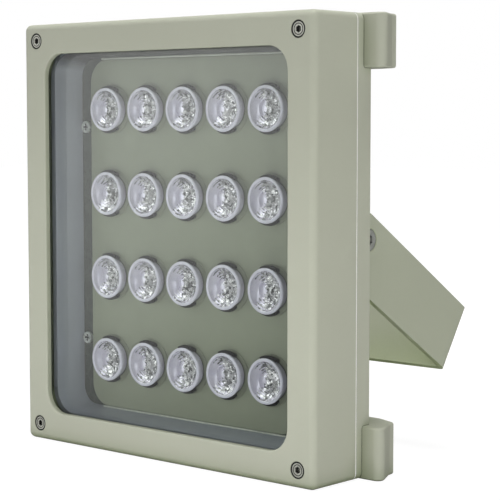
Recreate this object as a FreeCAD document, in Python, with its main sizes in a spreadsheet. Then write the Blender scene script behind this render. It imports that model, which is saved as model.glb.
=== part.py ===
import FreeCAD, Part
import math
import os
import Sketcher

os.makedirs("parts", exist_ok=True)
doc = FreeCAD.newDocument("infrared_illuminator")

# Frame: +Z up, the window faces -Y, +X is to the right seen along +Y. The origin is on the
# bottom face, in the middle of the width, at the joint plane of the front and rear housings.
# Sub-parts are drawn about the lamp's centre and placed half the housing's height above the origin.

# Driving dimensions, in millimetres and degrees
SIZES = [
    ("rim_side", 16.15, "window to the housing's side"),
    ("rim_end", 15.6, "window to the housing's top and bottom"),
    ("front_depth", 31.2, "front face to the joint plane"),
    ("corner_rounding", 3.4, "outer corners seen from the front"),
    ("edge_rounding_margin", 0.1, "front edges round less than the corners by this"),
    ("window_side_margin", 11.45, "lens plate to the window's side"),
    ("window_end_margin", 2.7, "lens plate to the window's top and bottom"),
    ("window_rounding", 12.0, "corners of the window"),
    ("lip_thickness", 3.0, "rim that the glass bears on"),
    ("lip_edge_rounding", 0.8, "front edge of the window"),
    ("glass_overlap", 3.5, "glass under the rim on each side"),
    ("glass_thickness", 4.0, "window pane"),
    ("glass_clearance", 0.5, "pane to housing on each side"),
    ("glass_seal_thickness", 0.8, "seal between rim and pane"),
    ("glass_seal_width", 3.0, "seal between rim and pane"),
    ("retainer_step", 0.4, "retainer opening beyond the window at the pane"),
    ("retainer_taper", 8.5, "degrees that the inner wall leans in"),
    ("joint_seal_thickness", 0.8, "seal between the housings"),
    ("joint_seal_width", 5.0, "seal between the housings"),
    ("joint_seal_inset", 0.1, "seal edge behind the housing's side"),
    ("corner_screw_side_inset", 9.8, "corner screws from the housing's side"),
    ("corner_screw_end_inset", 8.7, "corner screws from the housing's top and bottom"),
    ("corner_screw_diameter", 4.0, "corner screw shank"),
    ("corner_screw_head", 8.0, "corner screw head"),
    ("corner_screw_socket", 3.0, "corner screw hexagon across flats"),
    ("corner_screw_end_wall", 1.75, "flange left behind a corner screw's hole"),
    ("head_gap", 0.4, "countersink beyond a flat head, so the head lies this far below"),
    ("hole_clearance", 0.25, "through hole beyond a shank, radial"),
    ("thread_clearance", 0.05, "tapped hole beyond a shank, radial"),
    ("lens_diameter", 22.5, "front rim of a lens"),
    ("lens_pitch_x", 27.6, "columns of lenses"),
    ("lens_pitch_z", 43.7, "rows of lenses"),
    ("lens_columns", 5, "columns of lenses"),
    ("lens_rows", 4, "rows of lenses"),
    ("lens_height", 8.4, "board to front rim"),
    ("lens_skirt", 1.0, "wall of the skirt"),
    ("lens_face_depth", 0.6, "face below the rim"),
    ("lens_face_thickness", 1.2, "web between skirt and light cone"),
    ("lens_cone_front", 18.6, "light cone at the face"),
    ("lens_cone_back", 8.4, "light cone at the emitter"),
    ("lens_foot_gap", 1.1, "light cone above the board"),
    ("lens_cup_diameter", 5.6, "hollow over the emitter"),
    ("lens_cup_depth", 3.2, "hollow over the emitter"),
    ("emitter_width", 3.5, "emitter base"),
    ("emitter_base", 0.8, "emitter base height"),
    ("emitter_dome", 2.8, "emitter dome diameter"),
    ("emitter_dome_height", 1.3, "emitter dome height"),
    ("board_thickness", 1.6, "lamp board"),
    ("board_front", 25.0, "front face to the lamp board"),
    ("board_clearance", 0.8, "lamp board to housing on each side"),
    ("board_screw_plate_gap", 4.8, "lamp board screws beside the lens plate"),
    ("board_screw_end_inset", 35.3, "lamp board screws from the lens plate's top and bottom"),
    ("board_screw_diameter", 3.0, "lamp board screw shank"),
    ("board_screw_head", 6.2, "lamp board screw head"),
    ("board_screw_head_height", 2.2, "lamp board screw head"),
    ("board_screw_end_wall", 1.95, "metal left behind a lamp board screw's hole"),
    ("cross_slot_width", 1.0, "cross recess"),
    ("cross_slot_length", 3.6, "cross recess"),
    ("cross_slot_depth", 1.3, "cross recess"),
    ("plate_side_margin", 5.35, "outer lenses to the plate's side"),
    ("plate_end_margin", 14.9, "outer lenses to the plate's top and bottom"),
    ("cover_plate_rounding", 12.0, "corners of the plate"),
    ("cover_plate_thickness", 1.2, "plate around the lenses"),
    ("cover_plate_edge", 0.7, "rolled front edge of the plate"),
    ("cover_plate_rise", 2.8, "plate's face above the board"),
    ("lens_hole_clearance", 0.8, "plate hole beyond a lens, radial"),
    ("pad_thickness", 0.5, "heat pad"),
    ("pedestal_inset", 4.5, "pedestal inside the lamp board's edge"),
    ("flange_depth", 10.4, "joint plane to the rear face of the flange"),
    ("floor_behind_joint", 3.0, "joint plane to the driver bay's floor"),
    ("box_side_inset", 11.0, "driver box inside the housing's side"),
    ("box_corner_rounding", 5.0, "rear upright corners of the box"),
    ("bay_side_wall", 9.4, "driver bay's side walls"),
    ("bay_end_wall", 6.0, "driver bay's top and bottom walls"),
    ("bay_rounding", 4.0, "corners of the bay and its cover"),
    ("cover_ledge", 2.5, "ledge under the back cover's edge"),
    ("back_cover_thickness", 3.0, "back cover"),
    ("back_cover_clearance", 0.3, "back cover in its rebate"),
    ("back_seal_thickness", 0.8, "seal under the back cover"),
    ("cover_boss_diameter", 9.0, "posts for the back cover's screws"),
    ("cover_boss_merge", 0.4, "depth of a post in the bay's wall"),
    ("cover_screw_diameter", 3.0, "back cover screws"),
    ("cover_screw_head", 5.6, "back cover screws"),
    ("cover_screw_head_height", 2.0, "back cover screws"),
    ("cover_screw_reach", 10.0, "shank below the cover's outer face"),
    ("ear_height", 25.5, "ears at the four rear corners"),
    ("ear_front", 4.9, "joint plane to an ear's front face"),
    ("ear_nose", 12.4, "nose beyond the housing's side"),
    ("ear_nose_rounding", 3.6, "front edge of the nose"),
    ("ear_neck", 5.1, "neck beyond the housing's side"),
    ("ear_neck_to_rear", 7.5, "neck to the box's rear face"),
    ("ear_heel", 4.6, "heel beyond the housing's side"),
    ("ear_heel_to_rear", 3.8, "heel to the box's rear face"),
    ("ear_back", 2.6, "back corner inside the housing's side"),
    ("ear_back_to_rear", 0.9, "back corner to the box's rear face"),
    ("ear_root", 6.0, "ear's root inside the housing's side"),
    ("ear_end_rounding", 1.2, "both ends of an ear"),
    ("pivot_to_rear", 8.3, "bracket's pivot to the box's rear face"),
    ("pivot_rise", 2.8, "pivot above the lamp's centre"),
    ("pivot_diameter", 6.0, "pivot screw shank"),
    ("pivot_land", 0.3, "sheet left below the countersink"),
    ("pivot_socket", 5.0, "pivot screw hexagon across flats"),
    ("pivot_end_wall", 0.55, "wall left behind a pivot screw's hole"),
    ("pivot_running_clearance", 0.06, "arm bore beyond the shank, radial"),
    ("pivot_washer_diameter", 14.0, "washer between arm and box"),
    ("pivot_washer_thickness", 1.0, "washer between arm and box"),
    ("bracket_thickness", 3.0, "bracket sheet"),
    ("bracket_width", 35.0, "bracket sheet"),
    ("bracket_above_pivot", 11.2, "arm's upper edge from the pivot"),
    ("bracket_reach", 92.0, "pivot to the outer face of the web"),
    ("bracket_bend", 0.6, "inner radius of the bends"),
    ("bracket_tilt", 33.0, "arms below the horizontal"),
    ("arm_nose", 8.2, "radius of the arm's end about the pivot"),
    ("arm_flange_gap", 0.7, "arm's end to the flange"),
    ("arm_upper_slope", 78.5, "degrees between the arm's direction and its upper slope"),
    ("arm_lower_slope", 40.0, "degrees between the arm's direction and its lower slope"),
    ("wall_hole_diameter", 10.5, "centre hole of the web"),
    ("wall_side_hole_diameter", 6.5, "side holes of the web"),
    ("wall_side_hole_pitch", 60.0, "side holes of the web"),
    ("gland_bay_inset", 24.0, "gland above the bay's lower wall"),
    ("gland_thread", 16.0, "gland thread"),
    ("gland_wall", 2.0, "gland's thread to its flats"),
    ("gland_flange", 5.0, "gland hexagon height"),
    ("gland_neck", 8.0, "gland thread outside the hexagon"),
    ("gland_tail", 1.0, "gland thread past the locknut"),
    ("gland_bore", 9.0, "hole for the lead"),
    ("gland_seal_bore", 6.0, "hole in the rubber insert"),
    ("gland_seal_ring", 1.2, "ring under the gland"),
    ("gland_nut_height", 15.0, "sealing nut"),
    ("gland_nut_gap", 0.6, "sealing nut above the hexagon"),
    ("gland_nut_flats", 9.0, "sealing nut's hexagon height"),
    ("gland_nut_taper", 0.6, "crown's taper, radial"),
    ("gland_nut_end", 2.0, "thickness of the sealing nut's end"),
    ("gland_nut_shoulder", 0.5, "crown inside the sealing nut's flats"),
    ("locknut_height", 4.5, "locknut"),
    ("wire_hole", 8.0, "passage for the lamp board's wires"),
    ("driver_width", 110.0, "driver board"),
    ("driver_height", 84.0, "driver board"),
    ("driver_thickness", 1.6, "driver board"),
    ("driver_rise", 4.0, "driver board above the bay's floor"),
    ("driver_top_gap", 38.0, "driver board below the bay's upper wall"),
    ("driver_post", 7.0, "posts under the driver board"),
    ("driver_post_inset", 6.0, "posts inside the board's edge"),
    ("driver_screw_diameter", 3.0, "driver board screws"),
    ("driver_screw_head", 5.6, "driver board screws"),
    ("driver_screw_head_height", 2.0, "driver board screws"),
    ("driver_screw_floor_gap", 0.6, "driver screw's tip to the bay's floor"),
    ("coil_width", 26.0, "transformer"),
    ("coil_height", 22.0, "transformer"),
    ("coil_depth", 12.5, "transformer"),
    ("coil_edge_gap", 16.0, "transformer from the driver board's left edge"),
    ("capacitor_diameter", 12.0, "capacitor"),
    ("capacitor_length", 22.0, "capacitor"),
    ("capacitor_edge_gap", 33.0, "capacitor from the driver board's right edge"),
    ("terminal_width", 30.0, "terminal block"),
    ("terminal_height", 10.0, "terminal block"),
    ("terminal_depth", 11.0, "terminal block"),
    ("terminal_edge_gap", 3.0, "terminal block from the driver board's lower edge"),
]

sheet = doc.addObject("Spreadsheet::Sheet", "Sizes")
for row, (alias, number, note) in enumerate(SIZES, start=1):
    sheet.set("A%d" % row, alias)
    sheet.set("B%d" % row, str(number))
    sheet.set("C%d" % row, note)
    sheet.setAlias("B%d" % row, alias)
doc.recompute()

NODES = []


def plane_of(body, role):
    for feature in body.Origin.OriginFeatures:
        if feature.Role == role:
            return feature
    raise RuntimeError("no plane " + role)


def new_body(name, several=False):
    # One sub-part, drawn about the lamp's centre; several marks a set of separate solids
    body = doc.addObject("PartDesign::Body", name)
    body.Label = name
    body.AllowCompound = several
    body.setExpression(".Placement.Base.z", HOUSING_HEIGHT + " / 2")
    NODES.append(body)
    return body


def new_sketch(body, name, role, offsets):
    # offsets: expressions for the sketch's own x, y and z shift, None for no shift
    sketch = body.newObject("Sketcher::SketchObject", name)
    sketch.AttachmentSupport = [(plane_of(body, role), "")]
    sketch.MapMode = "FlatFace"
    for axis, expression in zip("xyz", offsets):
        if expression is not None:
            sketch.setExpression(".AttachmentOffset.Base." + axis, expression)
    return sketch


def front_sketch(body, name, depth, x=None, z=None):
    # Seen from the front: sketch x is X, sketch y is Z; depth is the plane's Y
    return new_sketch(body, name, "XZ_Plane", (x, z, "-(%s)" % depth))


def plan_sketch(body, name, height, x=None, depth=None):
    # Seen from above: sketch x is X, sketch y is Y; height is the plane's Z
    return new_sketch(body, name, "XY_Plane", (x, depth, height))


def bind(sketch, constraint, name, expression):
    index = sketch.addConstraint(constraint)
    sketch.renameConstraint(index, name)
    sketch.setExpression("Constraints." + name, expression)


def pin_point(sketch, geometry, corner, tag, x, y):
    # Ties a point to the sketch's origin by two expressions, None meaning on the axis
    here = sketch.getPoint(geometry, corner)
    if x is None:
        sketch.addConstraint(Sketcher.Constraint("PointOnObject", geometry, corner, -2))
    else:
        rule = Sketcher.Constraint("DistanceX", -1, 1, geometry, corner, here.x)
        bind(sketch, rule, tag + "_x", x)
    if y is None:
        sketch.addConstraint(Sketcher.Constraint("PointOnObject", geometry, corner, -1))
    else:
        rule = Sketcher.Constraint("DistanceY", -1, 1, geometry, corner, here.y)
        bind(sketch, rule, tag + "_y", y)


def polygon(sketch, points, arc_side=None):
    # A closed outline whose corners are given as pairs of expressions. The side after corner
    # arc_side is an arc about the sketch's origin.
    count = len(points)
    start = sketch.GeometryCount
    middle, normal = FreeCAD.Vector(0, 0, 0), FreeCAD.Vector(0, 0, 1)
    around = Part.Circle(middle, normal, 10)
    angles = [2 * math.pi * index / count for index in range(count + 1)]
    for index in range(count):
        if index == arc_side:
            sketch.addGeometry(Part.ArcOfCircle(around, angles[index], angles[index + 1]))
            sketch.addConstraint(Sketcher.Constraint("PointOnObject", start + index, 3, -1))
        else:
            ends = [around.value(angles[index]), around.value(angles[(index + 1) % count])]
            sketch.addGeometry(Part.LineSegment(*ends))
    for index in range(count):
        here = start + index
        following = start + (index + 1) % count
        sketch.addConstraint(Sketcher.Constraint("Coincident", here, 2, following, 1))
    for index, (x, y) in enumerate(points):
        pin_point(sketch, start + index, 1, "p%d" % (start + index), x, y)


def rectangle(sketch, width, height):
    half_x, half_y = "(%s) / 2" % width, "(%s) / 2" % height
    polygon(sketch, [("-" + half_x, "-" + half_y), (half_x, "-" + half_y),
                     (half_x, half_y), ("-" + half_x, half_y)])


def rounded_rectangle(sketch, width, height, radius):
    # Four corner arcs joined by four sides, all tied to the centre
    full = ("((%s) / 2)" % width, "((%s) / 2)" % height)
    short = tuple("(%s - (%s))" % (half, radius) for half in full)
    normal = FreeCAD.Vector(0, 0, 1)
    signs = [("", "-"), ("", ""), ("-", ""), ("-", "-")]
    for index, (sign_x, sign_y) in enumerate(signs):
        start_angle = (index - 1) * math.pi / 2
        middle_angle = start_angle + math.pi / 4
        middle = FreeCAD.Vector(math.cos(middle_angle), math.sin(middle_angle), 0) * 10
        corner = Part.Circle(middle, normal, 3)
        arc = sketch.addGeometry(Part.ArcOfCircle(corner, start_angle, start_angle + math.pi / 2))
        along_x = (sign_x + short[0], sign_y + full[1])
        along_y = (sign_x + full[0], sign_y + short[1])
        first, last = (along_x, along_y) if index % 2 == 0 else (along_y, along_x)
        pin_point(sketch, arc, 1, "first%d" % index, *first)
        pin_point(sketch, arc, 2, "last%d" % index, *last)
        centre_x = Sketcher.Constraint("DistanceX", -1, 1, arc, 3, middle.x)
        bind(sketch, centre_x, "centre%d" % index, sign_x + short[0])
    for arc in range(4):
        following = (arc + 1) % 4
        ends = [sketch.getPoint(arc, 2), sketch.getPoint(following, 1)]
        side = sketch.addGeometry(Part.LineSegment(*ends))
        sketch.addConstraint(Sketcher.Constraint("Coincident", side, 1, arc, 2))
        sketch.addConstraint(Sketcher.Constraint("Coincident", side, 2, following, 1))


def circle(sketch, diameter, x=None, y=None):
    index = sketch.addGeometry(Part.Circle(FreeCAD.Vector(1, 1, 0), FreeCAD.Vector(0, 0, 1), 1))
    pin_point(sketch, index, 3, "c%d" % index, x, y)
    rule = Sketcher.Constraint("Diameter", index, 2.0)
    bind(sketch, rule, "d%d" % index, diameter)


def hexagon(sketch, flats):
    # Across flats along the sketch's x
    half = "(%s) / 2" % flats
    low, high = "(%s) / sqrt(12)" % flats, "(%s) / sqrt(3)" % flats
    polygon(sketch, [(half, "-" + low), (half, low), (None, high),
                     ("-" + half, low), ("-" + half, "-" + low), (None, "-" + high)])


def pad(body, sketch, length, reverse=False, taper=None):
    feature = body.newObject("PartDesign::Pad", sketch.Name + "_pad")
    feature.Profile = sketch
    feature.Reversed = reverse
    feature.setExpression("Length", length)
    if taper is not None:
        feature.setExpression("TaperAngle", taper)
    sketch.Visibility = False
    return feature


def back_pad(body, sketch, length):
    # From a front sketch towards the rear, +Y
    return pad(body, sketch, length, reverse=True)


def pocket(body, sketch, length, reverse=False, taper=None):
    # From a front sketch towards the rear, +Y, unless reversed
    feature = body.newObject("PartDesign::Pocket", sketch.Name + "_pocket")
    feature.Profile = sketch
    feature.Reversed = reverse
    feature.setExpression("Length", length)
    if taper is not None:
        feature.setExpression("TaperAngle", taper)
    sketch.Visibility = False
    return feature


def turn(body, sketch, axis):
    feature = body.newObject("PartDesign::Revolution", sketch.Name + "_turn")
    feature.Profile = sketch
    feature.ReferenceAxis = (sketch, [axis])
    feature.Angle = 360
    sketch.Visibility = False
    return feature


def turned(body, name, x, z, profile):
    # A round solid about an axis along Y at x, z; profile corners are (radius, Y)
    sketch = plan_sketch(body, name, z, x)
    polygon(sketch, profile)
    return turn(body, sketch, "V_Axis")


def is_curve(edge, kinds):
    # The edge at the pole of a sphere has no curve
    return not edge.Degenerated and isinstance(edge.Curve, kinds)


def straight_edges(shape, direction, test):
    # Names of the straight edges along a direction that pass a test on their middle point
    names = []
    for index, edge in enumerate(shape.Edges, start=1):
        if not is_curve(edge, (Part.Line, Part.LineSegment)):
            continue
        tangent = edge.tangentAt(edge.FirstParameter)
        if abs(abs(tangent.dot(direction)) - 1) > 0.05:
            continue
        middle = edge.valueAt((edge.FirstParameter + edge.LastParameter) / 2)
        if test(middle):
            names.append("Edge%d" % index)
    return names


def dress(body, kind, base, names, setting, expression):
    feature = body.newObject("PartDesign::" + kind, base.Name + "_" + kind.lower())
    feature.Base = (base, names)
    feature.setExpression(setting, expression)
    doc.recompute()
    return feature


def read(alias):
    return float(sheet.get(alias))


# Expressions that several sub-parts share. The lenses set the plate, the plate the window and the
# window the housing.
FIELD_WIDTH = "((Sizes.lens_columns - 1) * Sizes.lens_pitch_x + Sizes.lens_diameter)"
FIELD_HEIGHT = "((Sizes.lens_rows - 1) * Sizes.lens_pitch_z + Sizes.lens_diameter)"
PLATE_WIDTH = "(%s + 2 * Sizes.plate_side_margin)" % FIELD_WIDTH
PLATE_HEIGHT = "(%s + 2 * Sizes.plate_end_margin)" % FIELD_HEIGHT
WINDOW_WIDTH = "(%s + 2 * Sizes.window_side_margin)" % PLATE_WIDTH
WINDOW_HEIGHT = "(%s + 2 * Sizes.window_end_margin)" % PLATE_HEIGHT
HOUSING_WIDTH = "(%s + 2 * Sizes.rim_side)" % WINDOW_WIDTH
HOUSING_HEIGHT = "(%s + 2 * Sizes.rim_end)" % WINDOW_HEIGHT
GLASS_WIDTH = "(%s + 2 * Sizes.glass_overlap)" % WINDOW_WIDTH
GLASS_HEIGHT = "(%s + 2 * Sizes.glass_overlap)" % WINDOW_HEIGHT
GLASS_ROUNDING = "(Sizes.window_rounding + Sizes.glass_overlap)"
FRONT_FACE = "(-Sizes.front_depth)"
RIM_BACK = "(-Sizes.front_depth + Sizes.lip_thickness)"
GLASS_FRONT = "(%s + Sizes.glass_seal_thickness)" % RIM_BACK
GLASS_BACK = "(%s + Sizes.glass_thickness)" % GLASS_FRONT
BOARD_FRONT = "(-Sizes.front_depth + Sizes.board_front)"
BOARD_BACK = "(%s + Sizes.board_thickness)" % BOARD_FRONT
PAD_BACK = "(%s + Sizes.pad_thickness)" % BOARD_BACK
BOARD_WIDTH = "(%s + 2 * Sizes.glass_clearance - 2 * Sizes.board_clearance)" % GLASS_WIDTH
BOARD_HEIGHT = "(%s + 2 * Sizes.glass_clearance - 2 * Sizes.board_clearance)" % GLASS_HEIGHT
BOARD_SCREW_REACH = ("(Sizes.floor_behind_joint - %s - Sizes.hole_clearance"
                     " - Sizes.board_screw_end_wall)" % BOARD_FRONT)
PEDESTAL_WIDTH = "(%s - 2 * Sizes.pedestal_inset)" % BOARD_WIDTH
PEDESTAL_HEIGHT = "(%s - 2 * Sizes.pedestal_inset)" % BOARD_HEIGHT
PIVOT_DEPTH = "(Sizes.flange_depth + Sizes.arm_flange_gap + Sizes.arm_nose)"
BOX_REAR = "(%s + Sizes.pivot_to_rear)" % PIVOT_DEPTH
BOX_WIDTH = "(%s - 2 * Sizes.box_side_inset)" % HOUSING_WIDTH
BAY_WIDTH = "(%s - 2 * Sizes.bay_side_wall)" % BOX_WIDTH
BAY_HEIGHT = "(%s - 2 * Sizes.bay_end_wall)" % HOUSING_HEIGHT
COVER_INNER = "(%s - Sizes.back_cover_thickness)" % BOX_REAR
LEDGE = "(%s - Sizes.back_seal_thickness)" % COVER_INNER
REBATE_WIDTH = "(%s + 2 * Sizes.cover_ledge)" % BAY_WIDTH
REBATE_HEIGHT = "(%s + 2 * Sizes.cover_ledge)" % BAY_HEIGHT
COVER_WIDTH = "(%s - 2 * Sizes.back_cover_clearance)" % REBATE_WIDTH
COVER_HEIGHT = "(%s - 2 * Sizes.back_cover_clearance)" % REBATE_HEIGHT
COVER_BOSS_INSET = "(Sizes.cover_boss_diameter / 2 - Sizes.cover_boss_merge)"
CORNER_SCREW_REACH = "(Sizes.flange_depth - Sizes.corner_screw_end_wall - Sizes.hole_clearance)"
DRIVER_FRONT = "(Sizes.floor_behind_joint + Sizes.driver_rise)"
DRIVER_BACK = "(%s + Sizes.driver_thickness)" % DRIVER_FRONT
DRIVER_LIFT = "(%s / 2 - Sizes.driver_top_gap - Sizes.driver_height / 2)" % BAY_HEIGHT
PIVOT_REACH = "(Sizes.bay_side_wall - Sizes.pivot_end_wall - Sizes.hole_clearance)"
PIVOT_BORE = "(Sizes.pivot_diameter + 2 * Sizes.pivot_running_clearance)"
PIVOT_FLARE = "(Sizes.bracket_thickness - Sizes.pivot_land)"
ARM_INNER = "(%s / 2 + Sizes.pivot_washer_thickness)" % BOX_WIDTH
ARM_OUTER = "(%s + Sizes.bracket_thickness)" % ARM_INNER
GLAND_Z = "(Sizes.gland_bay_inset - %s / 2)" % BAY_HEIGHT
GLAND_HEXAGON = "(Sizes.gland_thread + 2 * Sizes.gland_wall)"

SIGNS = ("-", "")
CORNERS = [(a, b) for a in SIGNS for b in SIGNS]


def four_points(x, z):
    return [(a + x, b + z) for a, b in CORNERS]


def corner_screw_points():
    return four_points("(%s / 2 - Sizes.corner_screw_side_inset)" % HOUSING_WIDTH,
                       "(%s / 2 - Sizes.corner_screw_end_inset)" % HOUSING_HEIGHT)


def board_screw_points():
    return four_points("(%s / 2 + Sizes.board_screw_plate_gap)" % PLATE_WIDTH,
                       "(%s / 2 - Sizes.board_screw_end_inset)" % PLATE_HEIGHT)


def cover_screw_points():
    # Four outer posts and one in the middle of each side
    side = "(%s / 2 - %s)" % (BAY_WIDTH, COVER_BOSS_INSET)
    end = "(%s / 2 - %s)" % (BAY_HEIGHT, COVER_BOSS_INSET)
    return four_points(side, end) + [("-" + side, None), (side, None)]


def driver_post_points():
    half_x = "(Sizes.driver_width / 2 - Sizes.driver_post_inset)"
    half_z = "(Sizes.driver_height / 2 - Sizes.driver_post_inset)"
    return [(a + half_x, "%s %s %s" % (DRIVER_LIFT, b or "+", half_z)) for a, b in CORNERS]


def lens_points():
    # Expressions for each lens axis, top row first, left to right seen from the front
    columns, rows = int(read("lens_columns")), int(read("lens_rows"))
    points = []
    for row in range(rows):
        for column in range(columns):
            x = "%g * Sizes.lens_pitch_x" % (column - (columns - 1) / 2)
            z = "%g * Sizes.lens_pitch_z" % ((rows - 1) / 2 - row)
            points.append((row + 1, column + 1, x, z))
    return points


def hole_pocket(body, name, depth, points, diameter, length):
    sketch = front_sketch(body, name, depth)
    for x, z in points:
        circle(sketch, diameter, x, z)
    return pocket(body, sketch, length)


def plate(body, name, width, height, rounding, front, thickness):
    # A flat plate across the lamp with rounded corners
    sketch = front_sketch(body, name, front)
    rounded_rectangle(sketch, width, height, rounding)
    return back_pad(body, sketch, thickness)


def window_cut(body, name, width, height, rounding, front, depth, taper=None):
    # A rectangular opening with rounded corners, from front to back
    sketch = front_sketch(body, name, front)
    rounded_rectangle(sketch, width, height, rounding)
    return pocket(body, sketch, depth, taper=taper)


def countersunk_profile(face, head, shank, length):
    # Radius and Y of a flat-headed screw that points to +Y
    cone = "((%s - %s) / 2)" % (head, shank)
    return [(None, face), ("%s / 2" % head, face), ("%s / 2" % shank, "%s + %s" % (face, cone)),
            ("%s / 2" % shank, length), (None, length)]


def headed_profile(seat, head, head_height, shank, reach):
    # Radius and Y of a screw whose head stands on seat, in front of it
    return [(None, "%s - %s" % (seat, head_height)), ("%s / 2" % head, "%s - %s" % (seat, head_height)),
            ("%s / 2" % head, seat), ("%s / 2" % shank, seat),
            ("%s / 2" % shank, "%s + %s" % (seat, reach)), (None, "%s + %s" % (seat, reach))]


def cross_recess(body, name, face, points, reverse=False):
    # Two crossed slots in each head
    for turned_slot, (width, height) in enumerate((("length", "width"), ("width", "length"))):
        sketch = front_sketch(body, "%s_%d" % (name, turned_slot), face)
        half_x = "Sizes.cross_slot_%s / 2" % width
        half_z = "Sizes.cross_slot_%s / 2" % height
        for x, z in points:
            x, z = x or "0", z or "0"
            polygon(sketch, [("%s - %s" % (x, half_x), "%s - %s" % (z, half_z)),
                             ("%s + %s" % (x, half_x), "%s - %s" % (z, half_z)),
                             ("%s + %s" % (x, half_x), "%s + %s" % (z, half_z)),
                             ("%s - %s" % (x, half_x), "%s + %s" % (z, half_z))])
        pocket(body, sketch, "Sizes.cross_slot_depth", reverse)


def front_housing():
    # Cast frame: rim, straight-walled cavity for the pane, four screw holes
    body = new_body("front_housing")
    block = plate(body, "front_outline", HOUSING_WIDTH, HOUSING_HEIGHT, "Sizes.corner_rounding",
                  FRONT_FACE, "Sizes.front_depth")
    doc.recompute()
    outline = block.Shape.BoundBox
    names = edges_at_depth(block.Shape, outline.YMin, outline.XLength, outline.ZLength)
    dress(body, "Fillet", block, names, "Radius", "Sizes.corner_rounding - Sizes.edge_rounding_margin")
    window_cut(body, "window_opening", WINDOW_WIDTH, WINDOW_HEIGHT, "Sizes.window_rounding",
               FRONT_FACE, "Sizes.front_depth")
    wide = "(%s + 2 * Sizes.glass_clearance)" % GLASS_WIDTH
    high = "(%s + 2 * Sizes.glass_clearance)" % GLASS_HEIGHT
    cavity = window_cut(body, "pane_cavity", wide, high, GLASS_ROUNDING, RIM_BACK,
                        "Sizes.front_depth - Sizes.lip_thickness")
    doc.recompute()
    # The window's own edges lie further in than the middle of the rim
    half_x, half_z = outline.XMax - read("rim_side") / 2, outline.ZMax - read("rim_end") / 2
    names = edges_at_depth(cavity.Shape, outline.YMin, half_x, half_z)
    dress(body, "Fillet", cavity, names, "Radius", "Sizes.lip_edge_rounding")
    bore = "(Sizes.corner_screw_diameter + 2 * Sizes.hole_clearance)"
    holes = hole_pocket(body, "corner_holes", FRONT_FACE, corner_screw_points(), bore,
                        "Sizes.front_depth")
    doc.recompute()
    radius = read("corner_screw_diameter") / 2 + read("hole_clearance")
    names = circles_at_depth(holes.Shape, outline.YMin, radius)
    flare = "Sizes.corner_screw_head / 2 + Sizes.head_gap - %s / 2" % bore
    dress(body, "Chamfer", holes, names, "Size", flare)


def edges_at_depth(shape, depth, half_x, half_z):
    # Edges in the plane at that depth, inside the given half sizes
    names = []
    for index, edge in enumerate(shape.Edges, start=1):
        box = edge.BoundBox
        if abs(box.YMin - depth) > 0.001 or abs(box.YMax - depth) > 0.001:
            continue
        if max(abs(box.XMin), abs(box.XMax)) < half_x and max(abs(box.ZMin), abs(box.ZMax)) < half_z:
            names.append("Edge%d" % index)
    return names


def circles_at_depth(shape, depth, radius):
    names = []
    for index, edge in enumerate(shape.Edges, start=1):
        if not is_curve(edge, Part.Circle) or abs(edge.Curve.Center.y - depth) > 0.001:
            continue
        if abs(edge.Curve.Radius - radius) < 0.001:
            names.append("Edge%d" % index)
    return names


def glass_seal():
    body = new_body("glass_seal")
    plate(body, "glass_seal_outline", GLASS_WIDTH, GLASS_HEIGHT, GLASS_ROUNDING, RIM_BACK,
          "Sizes.glass_seal_thickness")
    inner_wide = "(%s - 2 * Sizes.glass_seal_width)" % GLASS_WIDTH
    inner_high = "(%s - 2 * Sizes.glass_seal_width)" % GLASS_HEIGHT
    window_cut(body, "glass_seal_opening", inner_wide, inner_high,
               "%s - Sizes.glass_seal_width" % GLASS_ROUNDING, RIM_BACK, "Sizes.glass_seal_thickness")


def window_glass():
    body = new_body("window_glass")
    plate(body, "glass_outline", GLASS_WIDTH, GLASS_HEIGHT, GLASS_ROUNDING, GLASS_FRONT,
          "Sizes.glass_thickness")


def glass_retainer():
    # Bare metal frame between pane and lamp board; its inner wall leans in towards the board
    body = new_body("glass_retainer")
    depth = "(%s - %s)" % (BOARD_FRONT, GLASS_BACK)
    plate(body, "retainer_outline", GLASS_WIDTH, GLASS_HEIGHT, GLASS_ROUNDING, GLASS_BACK, depth)
    wide = "(%s + 2 * Sizes.retainer_step)" % WINDOW_WIDTH
    high = "(%s + 2 * Sizes.retainer_step)" % WINDOW_HEIGHT
    window_cut(body, "retainer_opening", wide, high, "Sizes.window_rounding", GLASS_BACK, depth,
               taper="-Sizes.retainer_taper")


def lamp_board():
    body = new_body("led_board")
    plate(body, "board_outline", BOARD_WIDTH, BOARD_HEIGHT, GLASS_ROUNDING, BOARD_FRONT,
          "Sizes.board_thickness")
    hole_pocket(body, "board_screw_holes", BOARD_FRONT, board_screw_points(),
                "Sizes.board_screw_diameter + 2 * Sizes.hole_clearance", "Sizes.board_thickness")
    hole_pocket(body, "board_wire_hole", BOARD_FRONT, [(None, None)], "Sizes.wire_hole",
                "Sizes.board_thickness")


def heat_pad():
    body = new_body("heat_pad")
    plate(body, "pad_outline", PEDESTAL_WIDTH, PEDESTAL_HEIGHT, "Sizes.window_rounding",
          BOARD_BACK, "Sizes.pad_thickness")
    hole_pocket(body, "pad_screw_holes", BOARD_BACK, board_screw_points(),
                "Sizes.board_screw_diameter + 2 * Sizes.hole_clearance", "Sizes.pad_thickness")
    hole_pocket(body, "pad_wire_hole", BOARD_BACK, [(None, None)], "Sizes.wire_hole",
                "Sizes.pad_thickness")


def board_screws():
    # Pan heads with a cross recess in the side margins of the lamp board
    body = new_body("led_board_screws", several=True)
    profile = headed_profile(BOARD_FRONT, "Sizes.board_screw_head", "Sizes.board_screw_head_height",
                             "(Sizes.board_screw_diameter - 2 * Sizes.thread_clearance)",
                             BOARD_SCREW_REACH)
    points = board_screw_points()
    for number, (x, z) in enumerate(points, start=1):
        turned(body, "board_screw_%d" % number, x, z, profile)
    face = "(%s - Sizes.board_screw_head_height)" % BOARD_FRONT
    cross_recess(body, "board_screw_slot", face, points)


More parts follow.
